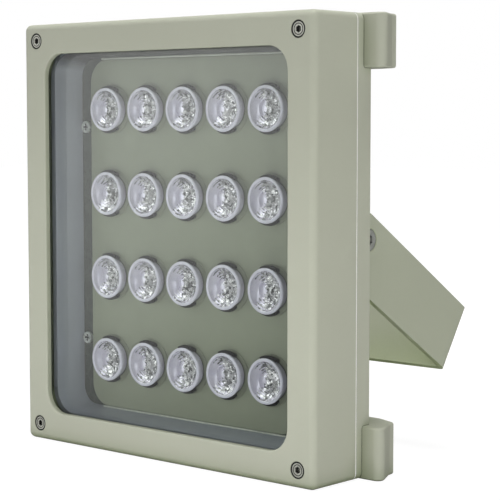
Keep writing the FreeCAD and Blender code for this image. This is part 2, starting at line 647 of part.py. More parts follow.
def cover_plate():
    # Shallow tray with a rim that stands on the lamp board, pierced for the lenses
    body = new_body("cover_plate")
    front = "(%s - Sizes.cover_plate_rise)" % BOARD_FRONT
    block = plate(body, "cover_plate_outline", PLATE_WIDTH, PLATE_HEIGHT,
                  "Sizes.cover_plate_rounding", front, "Sizes.cover_plate_rise")
    doc.recompute()
    outline = block.Shape.BoundBox
    names = edges_at_depth(block.Shape, outline.YMin, outline.XLength, outline.ZLength)
    dress(body, "Fillet", block, names, "Radius", "Sizes.cover_plate_edge")
    sheet_back = "(%s + Sizes.cover_plate_thickness)" % front
    wide = "(%s - 2 * Sizes.cover_plate_thickness)" % PLATE_WIDTH
    high = "(%s - 2 * Sizes.cover_plate_thickness)" % PLATE_HEIGHT
    window_cut(body, "cover_plate_hollow", wide, high,
               "Sizes.cover_plate_rounding - Sizes.cover_plate_thickness", sheet_back,
               "Sizes.cover_plate_rise - Sizes.cover_plate_thickness")
    points = [(x, z) for _, _, x, z in lens_points()]
    hole_pocket(body, "lens_holes", front, points,
                "Sizes.lens_diameter + 2 * Sizes.lens_hole_clearance", "Sizes.cover_plate_thickness")


def lens(row, column, x, z):
    # One clear moulding: skirt, face, light cone and the cup over the emitter
    body = new_body("lens_%d_%d" % (row, column))
    rim = "(%s - Sizes.lens_height)" % BOARD_FRONT
    face = "(%s + Sizes.lens_face_depth)" % rim
    web = "(%s + Sizes.lens_face_thickness)" % face
    foot = "(%s - Sizes.lens_foot_gap)" % BOARD_FRONT
    skirt_in = "(Sizes.lens_diameter / 2 - Sizes.lens_skirt)"
    turned(body, "lens_profile_%d_%d" % (row, column), x, z, [
        (None, face), (skirt_in, face), (skirt_in, rim), ("Sizes.lens_diameter / 2", rim),
        ("Sizes.lens_diameter / 2", BOARD_FRONT), (skirt_in, BOARD_FRONT), (skirt_in, web),
        ("Sizes.lens_cone_front / 2", web), ("Sizes.lens_cone_back / 2", foot),
        ("Sizes.lens_cup_diameter / 2", foot),
        ("Sizes.lens_cup_diameter / 2", "%s - Sizes.lens_cup_depth" % foot),
        (None, "%s - Sizes.lens_cup_depth" % foot)])


def emitter_row(row, points):
    # The emitters of one row of lenses: square base with a round dome
    body = new_body("emitter_row_%d" % row, several=True)
    base_front = "(%s - Sizes.emitter_base)" % BOARD_FRONT
    half = "(Sizes.emitter_width / 2)"
    bases = front_sketch(body, "emitter_bases_%d" % row, base_front)
    for _, _, x, z in points:
        polygon(bases, [("%s - %s" % (x, half), "%s - %s" % (z, half)),
                        ("%s + %s" % (x, half), "%s - %s" % (z, half)),
                        ("%s + %s" % (x, half), "%s + %s" % (z, half)),
                        ("%s - %s" % (x, half), "%s + %s" % (z, half))])
    back_pad(body, bases, "Sizes.emitter_base")
    domes = front_sketch(body, "emitter_domes_%d" % row, "%s - Sizes.emitter_dome_height" % base_front)
    for _, _, x, z in points:
        circle(domes, "Sizes.emitter_dome", x, z)
    raised = back_pad(body, domes, "Sizes.emitter_dome_height")
    doc.recompute()
    tip = read("board_front") - read("front_depth") - read("emitter_base") - read("emitter_dome_height")
    names = circles_at_depth(raised.Shape, tip, read("emitter_dome") / 2)
    dress(body, "Fillet", raised, names, "Radius", "0.45 * Sizes.emitter_dome")


def joint_seal():
    body = new_body("housing_seal")
    wide = "(%s - 2 * Sizes.joint_seal_inset)" % HOUSING_WIDTH
    high = "(%s - 2 * Sizes.joint_seal_inset)" % HOUSING_HEIGHT
    plate(body, "joint_seal_outline", wide, high, "Sizes.corner_rounding - Sizes.joint_seal_inset",
          "0", "Sizes.joint_seal_thickness")
    window_cut(body, "joint_seal_opening", "%s - 2 * Sizes.joint_seal_width" % wide,
               "%s - 2 * Sizes.joint_seal_width" % high, "Sizes.joint_seal_width",
               "0", "Sizes.joint_seal_thickness")


def corner_screws():
    # Flat-headed screws with a hexagon socket, through the front housing into the rear one
    body = new_body("corner_screws", several=True)
    face = "(%s + Sizes.head_gap)" % FRONT_FACE
    profile = countersunk_profile(face, "Sizes.corner_screw_head",
                                  "(Sizes.corner_screw_diameter - 2 * Sizes.thread_clearance)",
                                  CORNER_SCREW_REACH)
    for number, (x, z) in enumerate(corner_screw_points(), start=1):
        turned(body, "corner_screw_%d" % number, x, z, profile)
        socket = front_sketch(body, "corner_socket_%d" % number, face, x, z)
        hexagon(socket, "Sizes.corner_screw_socket")
        pocket(body, socket, "Sizes.corner_screw_socket / 2")


def ear(body, side, level):
    # One ear: root in the housing's side, nose forward, neck, heel, and back to the box's rear
    sign = "" if side > 0 else "-"
    neck, heel, back = (BOX_REAR + " - Sizes.ear_%s_to_rear" % part for part in ("neck", "heel", "back"))
    outline = [("- Sizes.ear_root", "Sizes.ear_front"), ("+ Sizes.ear_nose", "Sizes.ear_front"),
               ("+ Sizes.ear_neck", neck), ("+ Sizes.ear_heel", heel), ("- Sizes.ear_back", back)]
    points = [("%s(%s / 2 %s)" % (sign, HOUSING_WIDTH, offset), depth) for offset, depth in outline]
    inner = "%s(%s / 2 - 2 * Sizes.box_corner_rounding)" % (sign, BOX_WIDTH)
    points += [(inner, BOX_REAR), (inner, neck)]
    half = HOUSING_HEIGHT + " / 2"
    bottom = half + " - Sizes.ear_height" if level > 0 else "-" + half
    name = "ear_%s_%s" % ("right" if side > 0 else "left", "top" if level > 0 else "bottom")
    sketch = plan_sketch(body, name, bottom)
    polygon(sketch, points)
    return pad(body, sketch, "Sizes.ear_height")


def ear_end_edges(shape, side, level):
    # Edges round the ears' ends at that height above and below the centre, beyond the housing's side
    names = []
    for index, edge in enumerate(shape.Edges, start=1):
        box = edge.BoundBox
        is_level = box.ZLength < 0.001 and abs(abs(box.ZMin) - level) < 0.001
        if is_level and abs(box.Center.x) > side + 0.01:
            names.append("Edge%d" % index)
    return names


def rear_housing():
    # One casting: heat pedestal, flange, driver box with its bay, and four ears
    body = new_body("rear_housing")
    flange = plate(body, "flange_outline", HOUSING_WIDTH, HOUSING_HEIGHT, "Sizes.corner_rounding",
                   "Sizes.joint_seal_thickness", "Sizes.flange_depth - Sizes.joint_seal_thickness")
    plate(body, "pedestal_outline", PEDESTAL_WIDTH, PEDESTAL_HEIGHT, "Sizes.window_rounding",
          PAD_BACK, "Sizes.flange_depth - %s" % PAD_BACK)
    box = front_sketch(body, "box_outline", "Sizes.flange_depth")
    rectangle(box, BOX_WIDTH, HOUSING_HEIGHT)
    boxed = back_pad(body, box, "%s - Sizes.flange_depth" % BOX_REAR)
    doc.recompute()
    outline, rear = flange.Shape.BoundBox, boxed.Shape.BoundBox.YMax
    upright = FreeCAD.Vector(0, 0, 1)
    names = straight_edges(boxed.Shape, upright, lambda point: point.y > rear - 0.01)
    dress(body, "Fillet", boxed, names, "Radius", "Sizes.box_corner_rounding")
    for side in (-1, 1):
        for level in (-1, 1):
            last = ear(body, side, level)
    doc.recompute()
    nose_x, nose_y = outline.XMax + read("ear_nose"), read("ear_front")
    names = straight_edges(last.Shape, upright,
                           lambda p: abs(abs(p.x) - nose_x) < 0.01 and abs(p.y - nose_y) < 0.01)
    dress(body, "Fillet", last, names, "Radius", "Sizes.ear_nose_rounding")
    window_cut(body, "driver_bay", BAY_WIDTH, BAY_HEIGHT, "Sizes.bay_rounding",
               "Sizes.floor_behind_joint", "%s - Sizes.floor_behind_joint" % BOX_REAR)
    posts(body)
    window_cut(body, "cover_rebate", REBATE_WIDTH, REBATE_HEIGHT, "Sizes.bay_rounding", LEDGE,
               "%s - %s" % (BOX_REAR, LEDGE))
    drilled = rear_housing_holes(body)
    doc.recompute()
    for level in (outline.ZMax, outline.ZMax - read("ear_height")):
        names = ear_end_edges(drilled.Shape, outline.XMax, level)
        drilled = dress(body, "Fillet", drilled, names, "Radius", "Sizes.ear_end_rounding")


def posts(body):
    # Posts on the bay's floor for the back cover and the driver board
    tall = front_sketch(body, "cover_posts", "Sizes.floor_behind_joint")
    for x, z in cover_screw_points():
        circle(tall, "Sizes.cover_boss_diameter", x, z)
    back_pad(body, tall, "%s - Sizes.floor_behind_joint" % LEDGE)
    short = front_sketch(body, "driver_posts", "Sizes.floor_behind_joint")
    for x, z in driver_post_points():
        circle(short, "Sizes.driver_post", x, z)
    back_pad(body, short, "Sizes.driver_rise")


def rear_housing_holes(body):
    hole_pocket(body, "corner_threads", "0", corner_screw_points(), "Sizes.corner_screw_diameter",
                CORNER_SCREW_REACH + " + Sizes.hole_clearance")
    hole_pocket(body, "board_threads", PAD_BACK, board_screw_points(), "Sizes.board_screw_diameter",
                "%s + %s + Sizes.hole_clearance - %s" % (BOARD_FRONT, BOARD_SCREW_REACH, PAD_BACK))
    hole_pocket(body, "wire_passage", PAD_BACK, [(None, None)], "Sizes.wire_hole",
                "Sizes.floor_behind_joint - %s" % PAD_BACK)
    cover_depth = "(%s - Sizes.cover_screw_reach - Sizes.hole_clearance)" % BOX_REAR
    hole_pocket(body, "cover_threads", cover_depth, cover_screw_points(),
                "Sizes.cover_screw_diameter", "%s - %s" % (LEDGE, cover_depth))
    driver_depth = "(Sizes.floor_behind_joint + Sizes.driver_screw_floor_gap)"
    hole_pocket(body, "driver_threads", driver_depth, driver_post_points(),
                "Sizes.driver_screw_diameter", "%s - %s" % (DRIVER_FRONT, driver_depth))
    for name, side, reverse in (("right", "", True), ("left", "-", False)):
        end = "(%s / 2 - %s - Sizes.hole_clearance)" % (BOX_WIDTH, PIVOT_REACH)
        sketch = new_sketch(body, "pivot_thread_" + name, "YZ_Plane",
                            (PIVOT_DEPTH, "Sizes.pivot_rise", side + end))
        circle(sketch, "Sizes.pivot_diameter")
        drilled = pocket(body, sketch, PIVOT_REACH + " + Sizes.hole_clearance", reverse)
    return drilled


def back_cover():
    body = new_body("back_cover")
    plate(body, "back_cover_outline", COVER_WIDTH, COVER_HEIGHT, "Sizes.bay_rounding", COVER_INNER,
          "Sizes.back_cover_thickness")
    hole_pocket(body, "back_cover_holes", COVER_INNER, cover_screw_points(),
                "Sizes.cover_screw_diameter + 2 * Sizes.hole_clearance", "Sizes.back_cover_thickness")
    hole_pocket(body, "gland_hole", COVER_INNER, [(None, GLAND_Z)],
                "Sizes.gland_thread + 2 * Sizes.hole_clearance", "Sizes.back_cover_thickness")


def back_seal():
    # Flat seal on the ledge, with an eye round each post
    body = new_body("back_cover_seal")
    plate(body, "back_seal_outline", COVER_WIDTH, COVER_HEIGHT, "Sizes.bay_rounding", LEDGE,
          "Sizes.back_seal_thickness")
    window_cut(body, "back_seal_opening", BAY_WIDTH, BAY_HEIGHT, "Sizes.bay_rounding",
               LEDGE, "Sizes.back_seal_thickness")
    eyes = front_sketch(body, "back_seal_eyes", LEDGE)
    for x, z in cover_screw_points():
        circle(eyes, "Sizes.cover_boss_diameter", x, z)
    back_pad(body, eyes, "Sizes.back_seal_thickness")
    hole_pocket(body, "back_seal_holes", LEDGE, cover_screw_points(),
                "Sizes.cover_screw_diameter + 2 * Sizes.hole_clearance", "Sizes.back_seal_thickness")


def rear_headed_screws(name, seat, tip, points, kind):
    # Pan heads that stand on seat and point forward, towards -Y
    body = new_body(name, several=True)
    head, height = "Sizes.%s_screw_head" % kind, "Sizes.%s_screw_head_height" % kind
    shank = "((Sizes.%s_screw_diameter - 2 * Sizes.thread_clearance) / 2)" % kind
    top = "(%s + %s)" % (seat, height)
    profile = [(None, tip), (shank, tip), (shank, seat), ("%s / 2" % head, seat),
               ("%s / 2" % head, top), (None, top)]
    for number, (x, z) in enumerate(points, start=1):
        turned(body, "%s_%d" % (name, number), x, z, profile)
    cross_recess(body, name + "_slot", top, points, reverse=True)


def back_cover_screws():
    rear_headed_screws("back_cover_screws", BOX_REAR, BOX_REAR + " - Sizes.cover_screw_reach",
                       cover_screw_points(), "cover")


def driver_board():
    body = new_body("driver_board")
    outline = front_sketch(body, "driver_outline", DRIVER_FRONT, None, DRIVER_LIFT)
    rectangle(outline, "Sizes.driver_width", "Sizes.driver_height")
    back_pad(body, outline, "Sizes.driver_thickness")
    hole_pocket(body, "driver_holes", DRIVER_FRONT, driver_post_points(),
                "Sizes.driver_screw_diameter + 2 * Sizes.hole_clearance", "Sizes.driver_thickness")


def driver_screws():
    tip = "Sizes.floor_behind_joint + Sizes.driver_screw_floor_gap"
    rear_headed_screws("driver_screws", DRIVER_BACK, tip, driver_post_points(), "driver")


def block_on_driver(name, x, z, width, height, depth):
    body = new_body(name)
    sketch = front_sketch(body, name + "_outline", DRIVER_BACK, x, z)
    rectangle(sketch, width, height)
    back_pad(body, sketch, depth)


def driver_parts():
    coil_x = "(Sizes.coil_edge_gap + Sizes.coil_width / 2 - Sizes.driver_width / 2)"
    block_on_driver("transformer", coil_x, DRIVER_LIFT, "Sizes.coil_width", "Sizes.coil_height",
                    "Sizes.coil_depth")
    edge = "%s - Sizes.driver_height / 2 + Sizes.terminal_edge_gap" % DRIVER_LIFT
    block_on_driver("terminal_block", None, "%s + Sizes.terminal_height / 2" % edge,
                    "Sizes.terminal_width", "Sizes.terminal_height", "Sizes.terminal_depth")
    # The capacitor lies on the board with its axis upright
    body = new_body("capacitor")
    radius = "Sizes.capacitor_diameter / 2"
    sketch = plan_sketch(body, "capacitor_outline", "%s - Sizes.capacitor_length / 2" % DRIVER_LIFT,
                         "Sizes.driver_width / 2 - Sizes.capacitor_edge_gap - " + radius,
                         "%s + %s" % (DRIVER_BACK, radius))
    circle(sketch, "Sizes.capacitor_diameter")
    pad(body, sketch, "Sizes.capacitor_length")


def gland():
    # Threaded body through the back cover, ring, locknut inside, sealing nut and rubber outside
    hexagon_front = "(%s + Sizes.gland_seal_ring)" % BOX_REAR
    hexagon_back = "(%s + Sizes.gland_flange)" % hexagon_front
    mouth = "(%s + Sizes.gland_neck)" % hexagon_back
    inner_end = "(%s - Sizes.locknut_height - Sizes.gland_tail)" % COVER_INNER
    bore, thread = "(Sizes.gland_bore / 2)", "(Sizes.gland_thread / 2)"
    body = new_body("gland_body")
    turned(body, "gland_tube", None, GLAND_Z, [(bore, inner_end), (thread, inner_end), (thread, mouth),
                                               (bore, mouth)])
    sketch = front_sketch(body, "gland_hexagon_outline", hexagon_front, None, GLAND_Z)
    hexagon(sketch, GLAND_HEXAGON)
    circle(sketch, "Sizes.gland_bore")
    back_pad(body, sketch, "Sizes.gland_flange")
    ring("gland_ring", BOX_REAR, "Sizes.gland_seal_ring",
         "Sizes.gland_thread + 2 * Sizes.hole_clearance", GLAND_HEXAGON)
    locknut = new_body("gland_locknut")
    sketch = front_sketch(locknut, "locknut_outline", "%s - Sizes.locknut_height" % COVER_INNER,
                          None, GLAND_Z)
    hexagon(sketch, GLAND_HEXAGON)
    circle(sketch, "Sizes.gland_thread + 2 * Sizes.thread_clearance")
    back_pad(locknut, sketch, "Sizes.locknut_height")
    sealing_nut(hexagon_back, mouth)


def ring(name, front, thickness, inner, outer):
    body = new_body(name)
    sketch = front_sketch(body, name + "_outline", front, None, GLAND_Z)
    circle(sketch, inner)
    circle(sketch, outer)
    back_pad(body, sketch, thickness)


def sealing_nut(hexagon_back, mouth):
    start = "(%s + Sizes.gland_nut_gap)" % hexagon_back
    flats_end = "(%s + Sizes.gland_nut_flats)" % start
    end = "(%s + Sizes.gland_nut_height)" % start
    inner_end = "(%s - Sizes.gland_nut_end)" % end
    thread = "(Sizes.gland_thread / 2 + Sizes.thread_clearance)"
    mouth_hole = "(Sizes.gland_bore / 2 + Sizes.hole_clearance)"
    body = new_body("gland_nut")
    sketch = front_sketch(body, "gland_nut_outline", start, None, GLAND_Z)
    hexagon(sketch, GLAND_HEXAGON)
    circle(sketch, "2 * %s" % thread)
    back_pad(body, sketch, "Sizes.gland_nut_flats")
    crown = "(%s / 2 - Sizes.gland_nut_shoulder)" % GLAND_HEXAGON
    turned(body, "gland_nut_crown", None, GLAND_Z, [
        (thread, flats_end), (crown, flats_end), (crown + " - Sizes.gland_nut_taper", end),
        (mouth_hole, end), (mouth_hole, inner_end), (thread, inner_end)])
    body = new_body("gland_rubber")
    rubber = "(Sizes.gland_thread / 2 - Sizes.hole_clearance)"
    turned(body, "rubber_profile", None, GLAND_Z, [
        ("Sizes.gland_seal_bore / 2", mouth), (rubber, mouth), (rubber, inner_end),
        ("Sizes.gland_seal_bore / 2", inner_end)])


def bracket_body():
    # U of sheet: drawn with the pivot axis as origin and the arms along +Y, then tilted down
    body = doc.addObject("PartDesign::Body", "mounting_bracket")
    body.Label = "mounting_bracket"
    NODES.append(body)
    low = "(Sizes.bracket_above_pivot - Sizes.bracket_width)"
    outline = plan_sketch(body, "bracket_plan", low)
    web_inner = "(Sizes.bracket_reach - Sizes.bracket_thickness)"
    front = "(-Sizes.bracket_width)"
    polygon(outline, [("-" + ARM_OUTER, front), ("-" + ARM_INNER, front), ("-" + ARM_INNER, web_inner),
                      (ARM_INNER, web_inner), (ARM_INNER, front), (ARM_OUTER, front),
                      (ARM_OUTER, "Sizes.bracket_reach"), ("-" + ARM_OUTER, "Sizes.bracket_reach")])
    strip = pad(body, outline, "Sizes.bracket_width")
    doc.recompute()
    reach = read("bracket_reach")
    inner = reach - read("bracket_thickness")
    upright = FreeCAD.Vector(0, 0, 1)
    names = straight_edges(strip.Shape, upright, lambda p: abs(p.y - reach) < 0.01)
    outer_bends = dress(body, "Fillet", strip, names, "Radius",
                        "Sizes.bracket_bend + Sizes.bracket_thickness")
    names = straight_edges(outer_bends.Shape, upright, lambda p: abs(p.y - inner) < 0.01)
    dress(body, "Fillet", outer_bends, names, "Radius", "Sizes.bracket_bend")
    arm_ends(body, low)
    bracket_holes(body, strip.Shape.BoundBox.XMax)
    body.Placement.Rotation = FreeCAD.Rotation(FreeCAD.Vector(-1, 0, 0), read("bracket_tilt"))
    body.setExpression(".Placement.Rotation.Angle", "Sizes.bracket_tilt * 1 deg")
    body.setExpression(".Placement.Base.y", PIVOT_DEPTH)
    body.setExpression(".Placement.Base.z", HOUSING_HEIGHT + " / 2 + Sizes.pivot_rise")


def arm_ends(body, low):
    # Rounds the arms' free ends about the pivot and slopes them back to the full width, so that
    # they clear the flange through the whole swing
    high = "Sizes.bracket_above_pivot"
    up, down = "Sizes.arm_upper_slope * 1 deg", "Sizes.arm_lower_slope * 1 deg"
    upper_touch = ("-Sizes.arm_nose * sin(%s)" % up, "Sizes.arm_nose * cos(%s)" % up)
    lower_touch = ("-Sizes.arm_nose * sin(%s)" % down, "-Sizes.arm_nose * cos(%s)" % down)
    upper_full = "(%s * cos(%s) - Sizes.arm_nose) / sin(%s)" % (high, up, up)
    lower_full = "(-%s * cos(%s) - Sizes.arm_nose) / sin(%s)" % (low, down, down)
    beyond, before = "(2 * Sizes.bracket_width)", "(-2 * Sizes.bracket_width)"
    sketch = new_sketch(body, "arm_end_cut", "YZ_Plane", (None, None, "-%s" % ARM_OUTER))
    polygon(sketch, [(before, beyond), (upper_full, beyond), (upper_full, high), upper_touch,
                     lower_touch, (lower_full, low), (lower_full, before), (before, before)],
            arc_side=3)
    pocket(body, sketch, "2 * " + ARM_OUTER, True)


def bracket_holes(body, outer_x):
    for name, side, reverse in (("right", "", True), ("left", "-", False)):
        sketch = new_sketch(body, "arm_bore_" + name, "YZ_Plane", (None, None, side + ARM_INNER))
        circle(sketch, PIVOT_BORE)
        bored = pocket(body, sketch, "Sizes.bracket_thickness", reverse)
    doc.recompute()
    radius = read("pivot_diameter") / 2 + read("pivot_running_clearance")
    names = ["Edge%d" % i for i, edge in enumerate(bored.Shape.Edges, start=1)
             if is_curve(edge, Part.Circle) and abs(edge.Curve.Radius - radius) < 0.001
             and abs(abs(edge.Curve.Center.x) - outer_x) < 0.001]
    dress(body, "Chamfer", bored, names, "Size", PIVOT_FLARE)
    middle = "(Sizes.bracket_above_pivot - Sizes.bracket_width / 2)"
    web = front_sketch(body, "wall_holes", "Sizes.bracket_reach - Sizes.bracket_thickness")
    circle(web, "Sizes.wall_hole_diameter", None, middle)
    circle(web, "Sizes.wall_side_hole_diameter", "-Sizes.wall_side_hole_pitch / 2", middle)
    circle(web, "Sizes.wall_side_hole_diameter", "Sizes.wall_side_hole_pitch / 2", middle)
    pocket(body, web, "Sizes.bracket_thickness")


def turned_across(body, name, profile):
    # A round solid about the pivot axis; profile corners are (X, radius)
    sketch = plan_sketch(body, name, "Sizes.pivot_rise", None, PIVOT_DEPTH)
    polygon(sketch, profile)
    return turn(body, sketch, "H_Axis")


def pivot_screws():
    # Flat heads in the arms' countersinks, shanks tapped into the box's sides
    body = new_body("pivot_screws", several=True)
    # The cone keeps the running clearance of the shank
    face = "(%s - Sizes.head_gap + Sizes.pivot_running_clearance)" % ARM_OUTER
    head = "(%s + %s / 2 - Sizes.head_gap)" % (PIVOT_FLARE, PIVOT_BORE)
    shank = "(Sizes.pivot_diameter / 2)"
    tapped = "(Sizes.pivot_diameter / 2 - Sizes.thread_clearance)"
    wall = "(%s / 2)" % BOX_WIDTH
    tip = "(%s - %s)" % (wall, PIVOT_REACH)
    neck = "(%s - %s + %s)" % (face, head, shank)
    for name, side, reverse in (("right", "", False), ("left", "-", True)):
        turned_across(body, "pivot_screw_" + name, [
            (side + tip, None), (side + face, None), (side + face, head), (side + neck, shank),
            (side + wall, shank), (side + wall, tapped), (side + tip, tapped)])
        socket = new_sketch(body, "pivot_socket_" + name, "YZ_Plane",
                            (PIVOT_DEPTH, "Sizes.pivot_rise", side + face))
        hexagon(socket, "Sizes.pivot_socket")
        pocket(body, socket, "Sizes.pivot_socket / 2", reverse)


def pivot_washers():
    body = new_body("pivot_washers", several=True)
    hole = "(Sizes.pivot_diameter / 2 + Sizes.hole_clearance)"
    wall = "(%s / 2)" % BOX_WIDTH
    for name, side in (("right", ""), ("left", "-")):
        turned_across(body, "pivot_washer_" + name, [
            (side + wall, hole), (side + ARM_INNER, hole),
            (side + ARM_INNER, "Sizes.pivot_washer_diameter / 2"),
            (side + wall, "Sizes.pivot_washer_diameter / 2")])


def build():
    front_housing()
    corner_screws()
    glass_seal()
    window_glass()
    glass_retainer()
    cover_plate()
    places = lens_points()
    for row, column, x, z in places:
        lens(row, column, x, z)
    for row in sorted({place[0] for place in places}):
        emitter_row(row, [place for place in places if place[0] == row])
    lamp_board()
    board_screws()
    heat_pad()
    joint_seal()
    rear_housing()
    driver_board()
    driver_screws()
    driver_parts()
    back_seal()
    back_cover()
    back_cover_screws()
    gland()
    pivot_washers()
    pivot_screws()
    bracket_body()
    doc.recompute()


def check():
    # Every object is sound and every sub-part is a valid solid or set of solids
    faults = ["%s: %s" % (item.Name, item.getStatusString()) for item in doc.Objects
              if "Invalid" in item.State or "Error" in item.State]
    if faults:
        raise RuntimeError("; ".join(faults))
    for body in NODES:
        shape = body.Shape
        if shape.isNull() or not shape.isValid() or not shape.Solids:
            raise RuntimeError("no valid solid in " + body.Label)


build()
check()
for body in NODES:
    body.Shape.exportStep("parts/%s.step" % body.Label)
    print("%-22s solids %d volume %.1f" % (body.Label, len(body.Shape.Solids), body.Shape.Volume))
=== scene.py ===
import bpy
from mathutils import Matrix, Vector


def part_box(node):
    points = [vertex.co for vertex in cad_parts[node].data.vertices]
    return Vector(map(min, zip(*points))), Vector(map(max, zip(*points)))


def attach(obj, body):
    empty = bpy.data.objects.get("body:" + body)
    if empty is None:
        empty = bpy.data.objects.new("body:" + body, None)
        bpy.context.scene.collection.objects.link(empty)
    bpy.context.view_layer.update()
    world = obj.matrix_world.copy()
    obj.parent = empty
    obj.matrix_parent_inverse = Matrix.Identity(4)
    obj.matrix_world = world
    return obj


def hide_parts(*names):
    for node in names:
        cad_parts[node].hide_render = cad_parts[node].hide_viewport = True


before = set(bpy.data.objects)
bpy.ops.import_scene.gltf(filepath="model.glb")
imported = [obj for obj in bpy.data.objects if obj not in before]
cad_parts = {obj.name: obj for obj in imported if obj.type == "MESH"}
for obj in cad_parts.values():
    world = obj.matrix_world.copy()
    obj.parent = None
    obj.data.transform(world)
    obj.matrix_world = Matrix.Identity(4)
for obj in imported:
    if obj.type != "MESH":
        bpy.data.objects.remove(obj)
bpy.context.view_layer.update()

import math

import bmesh
import bpy
from mathutils import Matrix, Vector

MM = 0.001
WHITE = (1.0, 1.0, 1.0, 1.0)


# Node helpers

EDGE_SAMPLES = 6
GAP_SAMPLES = 8
MIX_FIRST, MIX_SECOND, MIX_RESULT = 6, 7, 2


class Nodes:
    """The node tree of a material or world; inputs take a constant or another node's socket."""

    def __init__(self, owner):
        owner.use_nodes = True
        self.tree = owner.node_tree
        self.tree.nodes.clear()

    def link(self, source, target):
        self.tree.links.new(source, target)

    def node(self, kind, inputs=None, **settings):
        made = self.tree.nodes.new("ShaderNode" + kind)
        for name, value in settings.items():
            setattr(made, name, value)
        for name, value in (inputs or {}).items():
            if isinstance(value, bpy.types.NodeSocket):
                self.link(value, made.inputs[name])
            else:
                made.inputs[name].default_value = value
        return made

    def ranged(self, value, low, high, start=0.3, end=0.7, **settings):
        limits = {"Value": value, "From Min": start, "From Max": end, "To Min": low, "To Max": high}
        return self.node("MapRange", limits, **settings).outputs["Result"]

    def along(self, direction, axis):
        # How far a direction points along an axis
        turned = self.node("VectorMath", {0: direction, 1: axis}, operation="DOT_PRODUCT")
        return turned.outputs["Value"]


class Surface(Nodes):
    """One material; every method adds a node and returns the socket that it gives."""

    def __init__(self, name):
        self.material = bpy.data.materials.new(name)
        super().__init__(self.material)
        self.output = self.node("OutputMaterial")
        self.place = self.node("TexCoord").outputs["Object"]

    def stretched(self, scale):
        return self.node("Mapping", {"Vector": self.place, "Scale": scale}).outputs["Vector"]

    def noise(self, scale, detail=2.0, roughness=0.5, vector=None):
        inputs = {"Vector": vector or self.place, "Scale": scale, "Detail": detail,
                  "Roughness": roughness}
        return self.node("TexNoise", inputs).outputs["Fac"]

    def mixed(self, factor, first, second):
        made = self.node("Mix", {"Factor": factor}, data_type="RGBA")
        for number, colour in ((MIX_FIRST, first), (MIX_SECOND, second)):
            if isinstance(colour, bpy.types.NodeSocket):
                self.link(colour, made.inputs[number])
            else:
                made.inputs[number].default_value = (*colour, 1.0)
        return made.outputs[MIX_RESULT]

    def bump(self, height, distance, strength=1.0, normal=None):
        inputs = {"Height": height, "Distance": distance, "Strength": strength}
        if normal is not None:
            inputs["Normal"] = normal
        return self.node("Bump", inputs).outputs["Normal"]

    def leaning(self, normal, lean):
        # The normal tipped by a vector
        tipped = self.node("VectorMath", {0: normal, 1: lean}, operation="ADD").outputs[0]
        return self.node("VectorMath", {0: tipped}, operation="NORMALIZE").outputs[0]

    def facets(self, scale, tilt, normal):
        # Flat cells, each tipped its own way, like the facets of moulded optics
        cell = self.node("TexVoronoi", {"Vector": self.place, "Scale": scale}).outputs["Color"]
        lean = self.node("VectorMath", {0: cell, 1: (0.5, 0.5, 0.5)}, operation="SUBTRACT")
        lean = self.node("VectorMath", {0: lean.outputs[0], "Scale": tilt}, operation="SCALE")
        return cell, self.leaning(normal, lean.outputs[0])

    def soft_edges(self, radius):
        return self.node("Bevel", {"Radius": radius}, samples=EDGE_SAMPLES).outputs["Normal"]

    def open_sky(self, reach, low, high):
        # 0 in narrow gaps and recesses, 1 on open faces
        seen = self.node("AmbientOcclusion", {"Distance": reach}, samples=GAP_SAMPLES).outputs["AO"]
        return self.ranged(seen, 0.0, 1.0, low, high)

    def looking_down(self, low, high):
        # 0 on walls and upper faces, 1 on faces that look down
        normal = self.node("TexCoord").outputs["Normal"]
        return self.ranged(self.along(normal, (0.0, 0.0, -1.0)), 0.0, 1.0, low, high)

    def principled(self, **inputs):
        named = {key.replace("_", " "): value for key, value in inputs.items()}
        return self.node("BsdfPrincipled", named).outputs["BSDF"]

    def finish(self, shader):
        self.link(shader, self.output.inputs["Surface"])
        return self.material


def scaled(colour, factor):
    return tuple(min(1.0, part * factor) for part in colour)


# Finishes of the painted and metal pieces

# Painted shade: what deep inner corners keep of the paint's colour
CORNER_SHADE_TINT = (0.55, 0.60, 0.46)
BRACKET_CORNER_SHADE_TINT = (0.60, 0.70, 0.38)
COAT_EDGE = 0.4 * MM
CAST_EDGE = 0.3 * MM
STEEL_EDGE = 0.25 * MM
PLASTIC_EDGE = 0.2 * MM


def powder_coat(name, colour, rough=0.5, shade_reach=14 * MM, shade_tint=CORNER_SHADE_TINT):
    # Satin powder coat: fine orange peel, slight clouding and a softly rolled edge, with painted
    # shade in deep inner corners and in narrow gaps
    coat = Surface(name)
    cloud = coat.ranged(coat.noise(scale=9.0, detail=3.0), 0.0, 1.0)
    fleck = coat.ranged(coat.noise(scale=2600.0, detail=1.0), 0.0, 1.0, start=0.35, end=0.65)
    tone = coat.mixed(cloud, scaled(colour, 0.965), scaled(colour, 1.035))
    tone = coat.mixed(coat.ranged(fleck, 0.0, 0.12, start=0.0, end=1.0), tone, scaled(colour, 0.8))
    # Painted shade: deep inner corners darken towards the shade tint, and narrow gaps go nearly
    # black
    hollow = tuple(part * tint for part, tint in zip(colour, shade_tint))
    tone = coat.mixed(coat.open_sky(shade_reach, low=0.15, high=0.85), hollow, tone)
    tone = coat.mixed(coat.open_sky(0.7 * MM, low=0.42, high=0.85), scaled(colour, 0.12), tone)
    gloss = coat.ranged(coat.noise(scale=70.0), rough - 0.05, rough + 0.06)
    grain = coat.noise(scale=1500.0, roughness=0.6)
    peel = coat.bump(grain, distance=0.06 * MM, strength=0.6, normal=coat.soft_edges(COAT_EDGE))
    return coat.finish(coat.principled(Base_Color=tone, Roughness=gloss, Normal=peel,
                                       Specular_IOR_Level=0.45))


